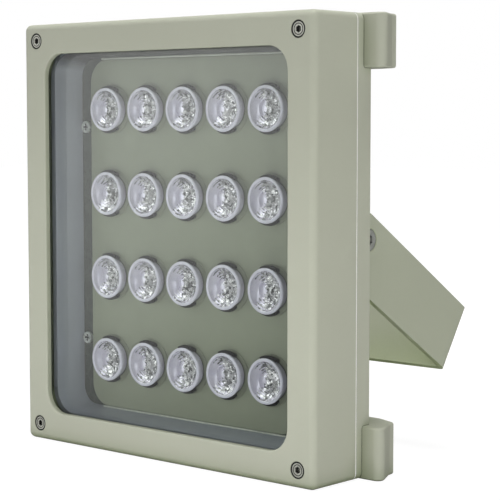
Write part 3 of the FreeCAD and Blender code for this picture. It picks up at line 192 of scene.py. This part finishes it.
def satin_paint(name, colour, rough=0.34):
    # Smooth satin coat of the lens plate, with faint clouding, long rolling marks and painted shade
    # in narrow gaps
    coat = Surface(name)
    cloud = coat.ranged(coat.noise(scale=16.0, detail=3.0), 0.0, 1.0)
    tone = coat.mixed(cloud, scaled(colour, 0.96), scaled(colour, 1.03))
    # Painted shade: narrow gaps and recesses darken to a quarter of the colour
    tone = coat.mixed(coat.open_sky(1.2 * MM, low=0.35, high=0.8), scaled(colour, 0.25), tone)
    rolled = coat.noise(scale=120.0, detail=3.0, vector=coat.stretched((1.0, 1.0, 0.12)))
    gloss = coat.ranged(rolled, rough - 0.04, rough + 0.05)
    wave = coat.noise(scale=90.0)
    flow = coat.bump(wave, distance=0.04 * MM, strength=0.4, normal=coat.soft_edges(COAT_EDGE))
    return coat.finish(coat.principled(Base_Color=tone, Roughness=gloss, Normal=flow,
                                       Specular_IOR_Level=0.5))


def cast_metal(name, colour, rough=0.42, metallic=0.35, downward_shade=0.06):
    # Bare blasted casting: fine grain and cloudy gloss, and painted shade that darkens the faces
    # that look down
    metal = Surface(name)
    cloud = metal.ranged(metal.noise(scale=22.0, detail=4.0), 0.0, 1.0)
    tone = metal.mixed(cloud, scaled(colour, 0.9), scaled(colour, 1.08))
    # Painted shade: faces that look down are darkened
    tone = metal.mixed(metal.looking_down(low=0.3, high=0.9), tone, scaled(colour, downward_shade))
    gloss = metal.ranged(metal.noise(scale=180.0, detail=3.0), rough - 0.08, rough + 0.08)
    blasted = metal.noise(scale=900.0, detail=3.0, roughness=0.7)
    grain = metal.bump(blasted, distance=0.08 * MM, strength=0.5,
                       normal=metal.soft_edges(CAST_EDGE))
    return metal.finish(metal.principled(Base_Color=tone, Roughness=gloss, Normal=grain,
                                         Metallic=metallic))


# Painted shade on steel: how far it looks for another face, and between which shares of open sky it
# darkens
GAP_SHADE = {"reach": 1.1 * MM, "low": 0.72, "high": 0.97}
SOCKET_SHADE = {"reach": 2.5 * MM, "low": 0.45, "high": 0.78}


def machined_steel(name, colour, rough=0.28, metallic=1.0, gap_shade=GAP_SHADE):
    # Bare steel: fine machining marks, cloudy wear, and painted shade that darkens its gaps and
    # sockets
    steel = Surface(name)
    wear = steel.ranged(steel.noise(scale=260.0, detail=3.0), 0.0, 1.0)
    tone = steel.mixed(wear, scaled(colour, 0.75), colour)
    # Painted shade: gaps and sockets go nearly black
    tone = steel.mixed(steel.open_sky(**gap_shade), scaled(colour, 0.02), tone)
    gloss = steel.ranged(steel.noise(scale=700.0), rough - 0.06, rough + 0.1)
    machined = steel.noise(scale=2400.0)
    marks = steel.bump(machined, distance=0.03 * MM, strength=0.5,
                       normal=steel.soft_edges(STEEL_EDGE))
    return steel.finish(steel.principled(Base_Color=tone, Roughness=gloss, Normal=marks,
                                         Metallic=metallic))


# Finishes of the seals, plastics and boards

def soft_rubber(name, colour, rough=0.7):
    # Matt rubber with a little dust
    rubber = Surface(name)
    dust = rubber.ranged(rubber.noise(scale=120.0, detail=4.0), 0.0, 1.0, start=0.35, end=0.75)
    tone = rubber.mixed(dust, colour, scaled(colour, 1.25))
    gloss = rubber.ranged(rubber.noise(scale=400.0), rough - 0.08, rough + 0.1)
    skin = rubber.bump(rubber.noise(scale=1800.0), distance=0.05 * MM, strength=0.6)
    return rubber.finish(rubber.principled(Base_Color=tone, Roughness=gloss, Normal=skin,
                                           Specular_IOR_Level=0.3))


def moulded_plastic(name, colour, rough=0.45):
    # Moulded plastic: faint clouding and a fine grain
    plastic = Surface(name)
    cloud = plastic.ranged(plastic.noise(scale=40.0, detail=3.0), 0.0, 1.0)
    tone = plastic.mixed(cloud, scaled(colour, 0.93), scaled(colour, 1.07))
    gloss = plastic.ranged(plastic.noise(scale=220.0), rough - 0.06, rough + 0.08)
    grain = plastic.bump(plastic.noise(scale=1300.0), distance=0.05 * MM, strength=0.5,
                         normal=plastic.soft_edges(PLASTIC_EDGE))
    return plastic.finish(plastic.principled(Base_Color=tone, Roughness=gloss, Normal=grain))


def circuit_board(name, colour):
    # Solder mask over a weave, with slightly raised copper underneath
    board = Surface(name)
    weave = board.noise(scale=1100.0, vector=board.stretched((1.0, 0.2, 2.5)))
    copper = board.node("TexVoronoi", {"Vector": board.place, "Scale": 120.0},
                        feature="DISTANCE_TO_EDGE").outputs["Distance"]
    traces = board.ranged(copper, 1.0, 0.0, start=0.03, end=0.09)
    tone = board.mixed(traces, colour, scaled(colour, 1.5))
    tone = board.mixed(board.ranged(weave, 0.0, 0.3), tone, scaled(colour, 0.7))
    gloss = board.ranged(board.noise(scale=300.0), 0.3, 0.45)
    raised = board.bump(traces, distance=0.03 * MM, strength=0.6)
    return board.finish(board.principled(Base_Color=tone, Roughness=gloss, Normal=raised,
                                         Specular_IOR_Level=0.2))


# Finishes of the clear pieces

# Facets of the lens bowls: cells in a metre, and how far each leans out of its plane
FACET_SCALE = 780.0
FACET_TILT = 0.85
RESIN_IOR = 1.49
PANE_TINT = (0.955, 0.975, 0.96, 1.0)

# What the pane mirrors when seen straight on, and how fast that grows towards a slant
PANE_MIRROR = 0.04
SCHLICK_POWER = 5.0


def window_pane(name):
    # Thin clear pane: mirror part by angle (Schlick), the rest passes straight through
    pane = Surface(name)
    smear = pane.ranged(pane.noise(scale=14.0, detail=4.0), 0.0, 0.05, start=0.35, end=0.8)
    slant = pane.node("LayerWeight", {"Blend": 0.5}).outputs["Facing"]
    steep = pane.node("Math", {0: slant, 1: SCHLICK_POWER}, operation="POWER").outputs[0]
    share = pane.ranged(steep, PANE_MIRROR, 1.0, start=0.0, end=1.0)
    mirror = pane.node("BsdfGlossy", {"Color": WHITE, "Roughness": smear}).outputs[0]
    through = pane.node("BsdfTransparent", {"Color": PANE_TINT}).outputs[0]
    return pane.finish(pane.node("MixShader", {0: share, 1: through, 2: mirror}).outputs[0])


def clear_lens(name, colour, through, gloss, ripple_depth, silver=0.0, tilt=0.0, gather=0.0):
    # Clear moulded resin with a faint lavender body; the hollow scatters, so it looks silvery.
    # Shading leans to the front by gather, as the clear cone is lit from there through its face.
    lens = Surface(name)
    cloud = lens.ranged(lens.noise(scale=260.0, detail=3.0), 0.0, 1.0)
    tone = lens.mixed(cloud, scaled(colour, 0.92), scaled(colour, 1.06))
    # Painted shade: narrow gaps and recesses in the resin darken to a fifth of its colour
    tone = lens.mixed(lens.open_sky(0.8 * MM, low=0.1, high=0.5), scaled(colour, 0.2), tone)
    polish = lens.ranged(lens.noise(scale=500.0), gloss, gloss + 0.06)
    wave = lens.noise(scale=650.0, detail=3.0, roughness=0.6)
    ripple = lens.bump(wave, distance=ripple_depth, strength=0.8)
    if gather:
        ripple = lens.leaning(ripple, (0.0, -gather, 0.0))
    if tilt:
        cell, ripple = lens.facets(FACET_SCALE, tilt, ripple)
        # Painted reflection: some facet cells are darkened to stand for dark reflections in the
        # optics
        lit = lens.ranged(cell, 0.0, 1.0, start=0.32, end=0.5)
        tone = lens.mixed(lit, scaled(colour, 0.25), tone)
    return lens.finish(lens.principled(Base_Color=tone, Roughness=polish, Normal=ripple,
                                       IOR=RESIN_IOR, Transmission_Weight=through,
                                       Metallic=silver, Coat_Weight=1.0, Coat_Roughness=0.03))


def dark_resin(name, colour):
    # Glossy resin cap of an infrared emitter
    resin = Surface(name)
    cloud = resin.ranged(resin.noise(scale=500.0), 0.0, 1.0)
    tone = resin.mixed(cloud, scaled(colour, 0.8), scaled(colour, 1.2))
    ripple = resin.bump(resin.noise(scale=900.0), distance=0.04 * MM, strength=0.4)
    return resin.finish(resin.principled(Base_Color=tone, Roughness=0.12, Normal=ripple,
                                         Coat_Weight=0.5, Coat_Roughness=0.05))


# One finish for each material of the solids

FINISHES = {
    "housing_paint": powder_coat("housing_paint_look", (0.49, 0.505, 0.41)),
    # The bracket's painted shade reaches far into its inner corners
    "bracket_paint": powder_coat("bracket_paint_look", (0.46, 0.485, 0.375), rough=0.46,
                                 shade_reach=70 * MM, shade_tint=BRACKET_CORNER_SHADE_TINT),
    "plate_paint": satin_paint("plate_paint_look", (0.252, 0.267, 0.200)),
    "window_glass": window_pane("window_glass_look"),
    "bare_aluminium": cast_metal("bare_aluminium_look", (0.42, 0.44, 0.51)),
    "seal_rubber": soft_rubber("seal_rubber_look", (0.012, 0.012, 0.012)),
    # Partly painted highlight: the seam seal is pale, and its brightness stands for the highlight
    # along the housing's seam
    "pale_seal": soft_rubber("pale_seal_highlight_look", (0.88, 0.88, 0.80), rough=0.5),
    "heat_pad": soft_rubber("heat_pad_look", (0.52, 0.54, 0.58)),
    "board_mask": circuit_board("board_mask_look", (0.052, 0.059, 0.049)),
    "driver_mask": circuit_board("driver_mask_look", (0.03, 0.14, 0.06)),
    "screw_steel": machined_steel("screw_steel_look", (0.46, 0.46, 0.44)),
    "transformer_core": moulded_plastic("transformer_core_look", (0.06, 0.06, 0.06), rough=0.55),
    "capacitor_can": machined_steel("capacitor_can_look", (0.60, 0.60, 0.62), rough=0.3),
    "terminal_plastic": moulded_plastic("terminal_plastic_look", (0.05, 0.22, 0.09)),
    "gland_plastic": moulded_plastic("gland_plastic_look", (0.22, 0.23, 0.215)),
    "lens_clear": clear_lens("lens_clear_look", (0.77, 0.735, 0.88), through=0.1, gloss=0.14,
                             ripple_depth=0.03 * MM, gather=0.9),
    "emitter_resin": dark_resin("emitter_resin_look", (0.10, 0.07, 0.09)),
}

# Three groups of screws that look paler and less like a mirror than bare steel in the photo
SCREW_LOOKS = {
    # The corner screws' painted shade reaches deeper into their sockets
    "corner_screws": machined_steel("corner_steel_look", (0.58, 0.59, 0.52), rough=0.4,
                                    metallic=0.4, gap_shade=SOCKET_SHADE),
    "pivot_screws": machined_steel("pivot_steel_look", (0.50, 0.51, 0.48), rough=0.35,
                                   metallic=0.35),
    "led_board_screws": machined_steel("board_steel_look", (0.75, 0.76, 0.74), rough=0.3,
                                       metallic=0.5),
}

SMOOTH_HOLLOW = clear_lens("lens_hollow_look", (0.84, 0.79, 1.0), through=0.05, gloss=0.10,
                           ripple_depth=0.06 * MM, silver=0.45)
FACETED_HOLLOW = clear_lens("lens_facet_look", (0.95, 0.92, 1.0), through=0.05, gloss=0.03,
                            ripple_depth=0.03 * MM, silver=0.7, tilt=FACET_TILT)
# Painted highlight: the pale beads along the plate's edges
HIGHLIGHT_BEAD_LOOK = soft_rubber("highlight_bead_look", (0.50, 0.51, 0.46), rough=0.5)

for name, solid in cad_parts.items():
    for used in solid.material_slots:
        plain_name = used.material.name.split(".")[0]
        used.material = SCREW_LOOKS.get(name) or FINISHES[plain_name]


# Helpers for the pieces that the scene adds

def middle_of(node):
    low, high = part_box(node)
    return (low[0] + high[0]) / 2, (low[2] + high[2]) / 2


def skin(bm, rows, closed):
    # Joins each row of points to the next; a chain that isn't closed gets a cap at both ends
    following = rows[1:] + rows[:1] if closed else rows[1:]
    for row, upper in zip(rows, following):
        for side in range(len(row)):
            after = (side + 1) % len(row)
            bm.faces.new((row[side], row[after], upper[after], upper[side]))
    if not closed:
        bm.faces.new(rows[0])
        bm.faces.new(rows[-1])


def finished_mesh(name, bm, smooth=True):
    # Turns the faces outwards and empties the builder into a mesh
    mesh = bpy.data.meshes.new(name)
    bmesh.ops.recalc_face_normals(bm, faces=bm.faces)
    bm.to_mesh(mesh)
    bm.free()
    if smooth:
        mesh.polygons.foreach_set("use_smooth", [True] * len(mesh.polygons))
    return mesh


def add_piece(mesh, slot, *looks):
    # A piece of the lamp, with the name of its mesh
    for look in looks:
        mesh.materials.append(look)
    piece = bpy.data.objects.new(mesh.name, mesh)
    bpy.context.scene.collection.objects.link(piece)
    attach(piece, "lamp")
    return piece


# Lens optics

# Half section of a lens in mm, radius and height above its foot: cone and rolled rim, shallow
# bowl, rings round the centre dome, and back along the hollow underside
LENS_OUTSIDE = [(8.4, 0.0), (9.2, 1.8), (9.9, 3.6), (10.5, 5.4), (10.95, 6.7), (11.2, 7.4),
                (11.25, 7.85), (11.12, 8.18), (10.8, 8.36), (10.4, 8.4), (10.0, 8.34), (9.7, 8.15)]
LENS_BOWL = [(9.45, 7.8), (9.1, 7.3), (8.65, 6.9), (8.1, 6.6), (7.5, 6.3), (6.9, 6.05), (6.4, 5.85),
             (6.0, 5.7)]
LENS_POST = [(5.6, 5.95), (5.2, 5.5), (4.7, 5.75), (4.25, 5.3), (3.7, 5.3), (3.5, 5.5), (3.3, 5.85),
             (3.0, 6.15), (2.6, 6.35), (2.0, 6.42), (1.0, 6.45), (0.0, 6.45)]
LENS_UNDER = [(0.0, 4.2), (2.0, 4.1), (4.0, 4.0), (6.0, 4.3), (7.4, 4.9), (8.3, 5.4), (8.7, 4.9),
              (8.5, 3.2), (7.9, 1.5), (7.4, 0.0)]
LENS_STEPS = 128
LENS_CREASE = math.radians(50)
LENS_NODES = sorted(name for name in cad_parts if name.startswith("lens_"))

# Facets: depth in mm, waves in one turn of the bowl, radians per mm across it and of twist, and
# the cosine of the angle at which they begin
FACET_DEPTH = 0.22
FACET_ROUND = 23.0
FACET_ACROSS = 1.7
FACET_TWIST = 5.1
FACET_START = -0.55

# The border between the smooth side and the facets sways from ring to ring, in radians
BORDER_SWAY = 0.35
BORDER_TURN = 2.3

# Order of a lens's materials
BODY, SMOOTH_SIDE, FACETED_SIDE = 0, 1, 2


def facet(angle, radius):
    # Small uneven facets that break up the light, fading out towards the smooth side at -X
    share = min(1.0, max(0.0, math.cos(angle) - FACET_START))
    swing = math.sin(FACET_ROUND * angle + FACET_TWIST * radius)
    return share * FACET_DEPTH * swing * math.cos(FACET_ACROSS * radius)


def lens_ring(bm, centre_x, centre_z, y, radius, faceted):
    # A ring of points, or a single point on the axis
    if radius == 0.0:
        return [bm.verts.new((centre_x, y, centre_z))]
    ring = []
    for step in range(LENS_STEPS):
        angle = 2 * math.pi * step / LENS_STEPS
        depth = y - (facet(angle, radius) * MM if faceted else 0.0)
        ring.append(bm.verts.new((centre_x + radius * MM * math.cos(angle), depth,
                                  centre_z + radius * MM * math.sin(angle))))
    return ring


def hollow_side(step, number):
    # The material of a face in the bowl; the smooth side's border is ragged
    ragged = BORDER_SWAY * math.sin(BORDER_TURN * number)
    turned = math.cos(2 * math.pi * (step + 0.5) / LENS_STEPS + ragged)
    return SMOOTH_SIDE if turned < FACET_START else FACETED_SIDE


def band(bm, lower, upper, hollow, number):
    # Faces between two rings, or a ring and a point on the axis
    if len(lower) == 1 and len(upper) == 1:
        return
    for step in range(LENS_STEPS):
        after = (step + 1) % LENS_STEPS
        if len(upper) == 1:
            corners = (lower[step], lower[after], upper[0])
        elif len(lower) == 1:
            corners = (lower[0], upper[after], upper[step])
        else:
            corners = (lower[step], lower[after], upper[after], upper[step])
        bm.faces.new(corners).material_index = hollow_side(step, number) if hollow else BODY


def lens_mesh(name, centre_x, centre_z, foot_y):
    bm = bmesh.new()
    parts = ((LENS_OUTSIDE, False), (LENS_BOWL, True), (LENS_POST, True), (LENS_UNDER, False))
    rings = [lens_ring(bm, centre_x, centre_z, foot_y - height * MM, radius, faceted)
             for part, faceted in parts
             for radius, height in part]
    rim = len(LENS_OUTSIDE) - 1
    bowl = range(rim, rim + len(LENS_BOWL) + len(LENS_POST))
    for number, lower in enumerate(rings):
        upper = rings[(number + 1) % len(rings)]
        band(bm, lower, upper, number in bowl, number)
    mesh = finished_mesh(name, bm)
    mesh.set_sharp_from_angle(angle=LENS_CREASE)
    return mesh


def add_lens(node):
    foot_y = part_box(node)[1][1]
    mesh = lens_mesh(node.replace("lens", "optic"), *middle_of(node), foot_y)
    piece = add_piece(mesh, "lens_clear", FINISHES["lens_clear"], SMOOTH_HOLLOW, FACETED_HOLLOW)
    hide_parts(node)


for node in LENS_NODES:
    add_lens(node)


# Painted shadow: two dark arcs lean on the cone of each lens, one above and one below, where the
# opening round the lens lies in shade

# Section in mm: radius, and depth from the plate's front
SHADOW_ARC_SECTION = [(10.3, -0.2), (11.0, -3.2), (12.2, -3.2), (12.4, -2.8), (11.2, -0.2)]
SHADOW_ARC_STEPS = 16
SHADOW_ARC_SPREAD = math.radians(26)


def turned_slice(bm, section, centre_x, centre_z, front, angle):
    # The points of a section at one angle about a lens's axis
    return [bm.verts.new((centre_x + radius * MM * math.cos(angle), front + depth * MM,
                          centre_z + radius * MM * math.sin(angle)))
            for radius, depth in section]


def add_lens_shadow_arcs():
    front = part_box("cover_plate")[0][1]
    bm = bmesh.new()
    for node in LENS_NODES:
        centre_x, centre_z = middle_of(node)
        for middle in (math.pi / 2, -math.pi / 2):
            angles = [middle + SHADOW_ARC_SPREAD * (2 * step / SHADOW_ARC_STEPS - 1)
                      for step in range(SHADOW_ARC_STEPS + 1)]
            slices = [turned_slice(bm, SHADOW_ARC_SECTION, centre_x, centre_z, front, angle)
                      for angle in angles]
            skin(bm, slices, closed=False)
    add_piece(finished_mesh("lens_shadow_arcs", bm, smooth=False), "seal_rubber", FINISHES["seal_rubber"])


add_lens_shadow_arcs()


# A collar in the plate's paint closes the opening round the cone of each lens

# Section in mm: radius, and depth from the plate's front
COLLAR_SECTION = [(9.75, 1.0), (9.75, -0.2), (12.4, -0.2), (12.6, -0.1), (12.6, 0.0), (12.0, 0.0),
                  (12.0, 1.0)]
COLLAR_STEPS = 64


def add_lens_collars():
    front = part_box("cover_plate")[0][1]
    bm = bmesh.new()
    for node in LENS_NODES:
        centre_x, centre_z = middle_of(node)
        slices = [turned_slice(bm, COLLAR_SECTION, centre_x, centre_z, front,
                               2 * math.pi * step / COLLAR_STEPS)
                  for step in range(COLLAR_STEPS)]
        skin(bm, slices, closed=True)
    mesh = finished_mesh("lens_collars", bm, smooth=False)
    add_piece(mesh, "plate_paint", FINISHES["plate_paint"])


add_lens_collars()


# Painted shade: a dark ring on each corner screw's head for the shadow round its rim, and a raised
# dark ring round its socket for the shade there

HEAD_RADIUS = 4.0 * MM
SHADOW_RING_RADIUS = 3.72 * MM
SOCKET_RADIUS = 2.56 * MM
RING_STEPS = 48
RING_SIDES = 10


def ring_row(bm, centre, radius, thickness, angle):
    # Points round the wire of a ring, at one angle about the screw's axis
    row = []
    for side in range(RING_SIDES):
        turn = 2 * math.pi * side / RING_SIDES
        reach = radius + thickness * math.cos(turn)
        row.append(bm.verts.new((centre[0] + reach * math.cos(angle),
                                 centre[1] + thickness * math.sin(turn),
                                 centre[2] + reach * math.sin(angle))))
    return row


def add_rings(name, radius, thickness, sunk):
    low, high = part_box("corner_screws")
    bm = bmesh.new()
    for x in (low[0] + HEAD_RADIUS, high[0] - HEAD_RADIUS):
        for z in (low[2] + HEAD_RADIUS, high[2] - HEAD_RADIUS):
            centre = (x, low[1] + sunk, z)
            rows = [ring_row(bm, centre, radius, thickness, 2 * math.pi * step / RING_STEPS)
                    for step in range(RING_STEPS)]
            skin(bm, rows, closed=True)
    add_piece(finished_mesh(name, bm), "seal_rubber", FINISHES["seal_rubber"])


add_rings("screw_shadow_rings", SHADOW_RING_RADIUS, thickness=0.38 * MM, sunk=0.1 * MM)
add_rings("socket_shadow_rings", SOCKET_RADIUS, thickness=0.2 * MM, sunk=0.05 * MM)


# Painted highlight: thin pale beads between the plate's upper and lower edge and the inner wall,
# standing for the highlights along those edges

BEAD_RADIUS = 0.5 * MM
BEAD_BEHIND_FRONT = 0.3 * MM
BEAD_PAST_EDGE = 0.4 * MM
BEAD_INSET = 8.0 * MM
BEAD_TAPER = 0.4 * MM
BEAD_TIP = 0.3
BEAD_STEPS = 12


def bead_ring(bm, x, depth, height, radius):
    angles = [2 * math.pi * step / BEAD_STEPS for step in range(BEAD_STEPS)]
    return [bm.verts.new((x, depth + radius * math.sin(angle), height + radius * math.cos(angle)))
            for angle in angles]


def add_highlight_bead(name, outward):
    # A bead along the plate's lower edge (outward -1) or its upper one (outward 1)
    low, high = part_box("cover_plate")
    edge = high[2] if outward > 0 else low[2]
    depth, height = low[1] + BEAD_BEHIND_FRONT, edge + outward * BEAD_PAST_EDGE
    left, right = low[0] + BEAD_INSET, high[0] - BEAD_INSET
    tip = BEAD_TIP * BEAD_RADIUS
    stations = ((left, tip), (left + BEAD_TAPER, BEAD_RADIUS), (right - BEAD_TAPER, BEAD_RADIUS),
                (right, tip))
    bm = bmesh.new()
    rings = [bead_ring(bm, x, depth, height, radius) for x, radius in stations]
    skin(bm, rings, closed=False)
    add_piece(finished_mesh(name, bm), "pale_seal", HIGHLIGHT_BEAD_LOOK)


add_highlight_bead("highlight_bead_bottom", outward=-1)
add_highlight_bead("highlight_bead_top", outward=1)


# Floor

FLOOR_HALF = 4.0
FLOOR_MATT = (0.80, 0.80, 0.79, 1.0)
FLOOR_SHADED = (0.12, 0.12, 0.12, 1.0)

# How the floor glows to the camera: full white from half a metre off the lamp
FLOOR_GLOW = {"start": 0.22, "end": 0.5, "low": 0.94, "high": 1.0}


def white_stage():
    # White to the camera with a trace of shadow close by, and a pale matt floor to other light
    floor = Surface("floor_look")
    camera_ray = floor.node("LightPath").outputs["Is Camera Ray"]
    matt = floor.node("BsdfDiffuse", {"Color": FLOOR_MATT}).outputs[0]
    reach = floor.node("VectorMath", {0: floor.place}, operation="LENGTH").outputs["Value"]
    strength = floor.ranged(reach, **FLOOR_GLOW)
    glow = floor.node("Emission", {"Color": WHITE, "Strength": strength}).outputs[0]
    shaded = floor.node("BsdfDiffuse", {"Color": FLOOR_SHADED}).outputs[0]
    seen = floor.node("AddShader", {0: glow, 1: shaded}).outputs[0]
    return floor.finish(floor.node("MixShader", {0: camera_ray, 1: matt, 2: seen}).outputs[0])


def add_floor():
    mesh = bpy.data.meshes.new("floor")
    corners = [(-FLOOR_HALF, -FLOOR_HALF, 0.0), (FLOOR_HALF, -FLOOR_HALF, 0.0),
               (FLOOR_HALF, FLOOR_HALF, 0.0), (-FLOOR_HALF, FLOOR_HALF, 0.0)]
    mesh.from_pydata(corners, [], [(0, 1, 2, 3)])
    mesh.materials.append(white_stage())
    floor = bpy.data.objects.new("floor", mesh)
    bpy.context.scene.collection.objects.link(floor)
    floor.visible_glossy = False


add_floor()


# Light of the studio's walls: axes, and how its strength changes along them

SOFT_AXIS = (0.707, 0.707, 0.0)
SOFT_FALL = {"start": -0.6, "end": 0.6, "low": 0.24, "high": 0.065}
CEILING_AXIS = (-1.2, 0.0, 1.0)
CEILING_CLIMB = {"start": 0.58, "end": 0.88, "low": 0.15, "high": 1.8}
REAR_AXIS = (-0.9, 1.0, 0.0)
REAR_SHADE = {"start": -0.1, "end": 0.45, "low": 1.0, "high": 0.3}


def soft_world():
    # White to the camera. Surfaces get soft light that falls off to the rear right, and mirrors
    # get a ceiling that is brighter than the floor and darker walls at the rear left.
    world = bpy.data.worlds.new("studio")
    bpy.context.scene.world = world
    sky = Nodes(world)
    path = sky.node("LightPath").outputs
    direction = sky.node("TexCoord").outputs["Generated"]
    fall = sky.ranged(sky.along(direction, SOFT_AXIS), **SOFT_FALL)
    climb = sky.ranged(sky.along(direction, CEILING_AXIS), interpolation_type="SMOOTHSTEP",
                       **CEILING_CLIMB)
    shade = sky.ranged(sky.along(direction, REAR_AXIS), interpolation_type="SMOOTHSTEP",
                       **REAR_SHADE)
    soft = sky.node("Background", {"Color": WHITE, "Strength": fall}).outputs[0]
    mirrored = sky.node("Background", {"Color": shade, "Strength": climb}).outputs[0]
    white = sky.node("Background", {"Color": WHITE}).outputs[0]
    lit = sky.node("MixShader", {0: path["Is Glossy Ray"], 1: soft, 2: mirrored}).outputs[0]
    seen = sky.node("MixShader", {0: path["Is Camera Ray"], 1: lit, 2: white}).outputs[0]
    sky.node("OutputWorld", {"Surface": seen})


soft_world()


# Lamps of the studio: sizes in metres, power in watts

MIDDLE = (0.0, 0.0, 0.11)
PLATE_FOOT = (0.0, -0.03, 0.02)


def soft_box(name, place, target, width, height, watts, mirrored=False):
    # A rectangular light that the camera doesn't see, nor mirrors unless it says so
    light = bpy.data.lights.new(name, "AREA")
    light.shape = "RECTANGLE"
    light.size, light.size_y = width, height
    light.energy = watts
    lamp = bpy.data.objects.new(name, light)
    direction = Vector(target) - Vector(place)
    lamp.rotation_euler = direction.to_track_quat("-Z", "Y").to_euler()
    lamp.location = place
    lamp.visible_camera = False
    lamp.visible_glossy = mirrored
    bpy.context.scene.collection.objects.link(lamp)


soft_box("soft_box_above", (0.0, 0.05, 1.2), MIDDLE, width=0.9, height=0.5, watts=12.0)
soft_box("soft_box_right", (1.15, -0.45, 0.22), MIDDLE, width=0.6, height=0.4, watts=4.8)
soft_box("soft_box_left", (-0.55, -0.80, 0.70), MIDDLE, width=0.3, height=0.3, watts=0.45,
         mirrored=True)
soft_box("front_strip", (0.03, -1.00, 0.35), MIDDLE, width=0.10, height=0.9, watts=0.28,
         mirrored=True)
soft_box("reflector_card", (0.0, -0.25, 0.06), PLATE_FOOT, width=0.6, height=0.10, watts=0.29)


# The photograph's camera, fitted to the rims of the lenses, the window and the bracket

FOCAL_PIXELS = 1634.71
FRAME_PIXELS = 500.0
SENSOR_MM = 36.0
AZIMUTH, ELEVATION, ROLL = 0.7260879, 0.0798182, 0.0002601

# From the camera to the middle of the lamp's front, in metres: to the right, down and ahead
FRONT_MIDDLE = Vector((0.0, -0.0312, 0.11))
TO_RIGHT, TO_DOWN, TO_AHEAD = -0.0453338, -0.0038279, 0.8065318


def photo_camera():
    ahead = Vector((-math.sin(AZIMUTH) * math.cos(ELEVATION),
                    math.cos(AZIMUTH) * math.cos(ELEVATION), -math.sin(ELEVATION)))
    right = Vector((math.cos(AZIMUTH), math.sin(AZIMUTH), 0.0))
    down = ahead.cross(right)
    turned_right = math.cos(ROLL) * right + math.sin(ROLL) * down
    turned_down = -math.sin(ROLL) * right + math.cos(ROLL) * down
    eye = FRONT_MIDDLE - (TO_RIGHT * turned_right + TO_DOWN * turned_down + TO_AHEAD * ahead)
    camera = bpy.data.objects.new("camera", bpy.data.cameras.new("camera"))
    camera.data.sensor_width = SENSOR_MM
    camera.data.lens = FOCAL_PIXELS / FRAME_PIXELS * SENSOR_MM
    axes = Matrix((turned_right, -turned_down, -ahead)).transposed()
    camera.matrix_world = Matrix.Translation(eye) @ axes.to_4x4()
    bpy.context.scene.collection.objects.link(camera)
    bpy.context.scene.camera = camera


photo_camera()
bpy.context.scene.view_settings.view_transform = "Standard"
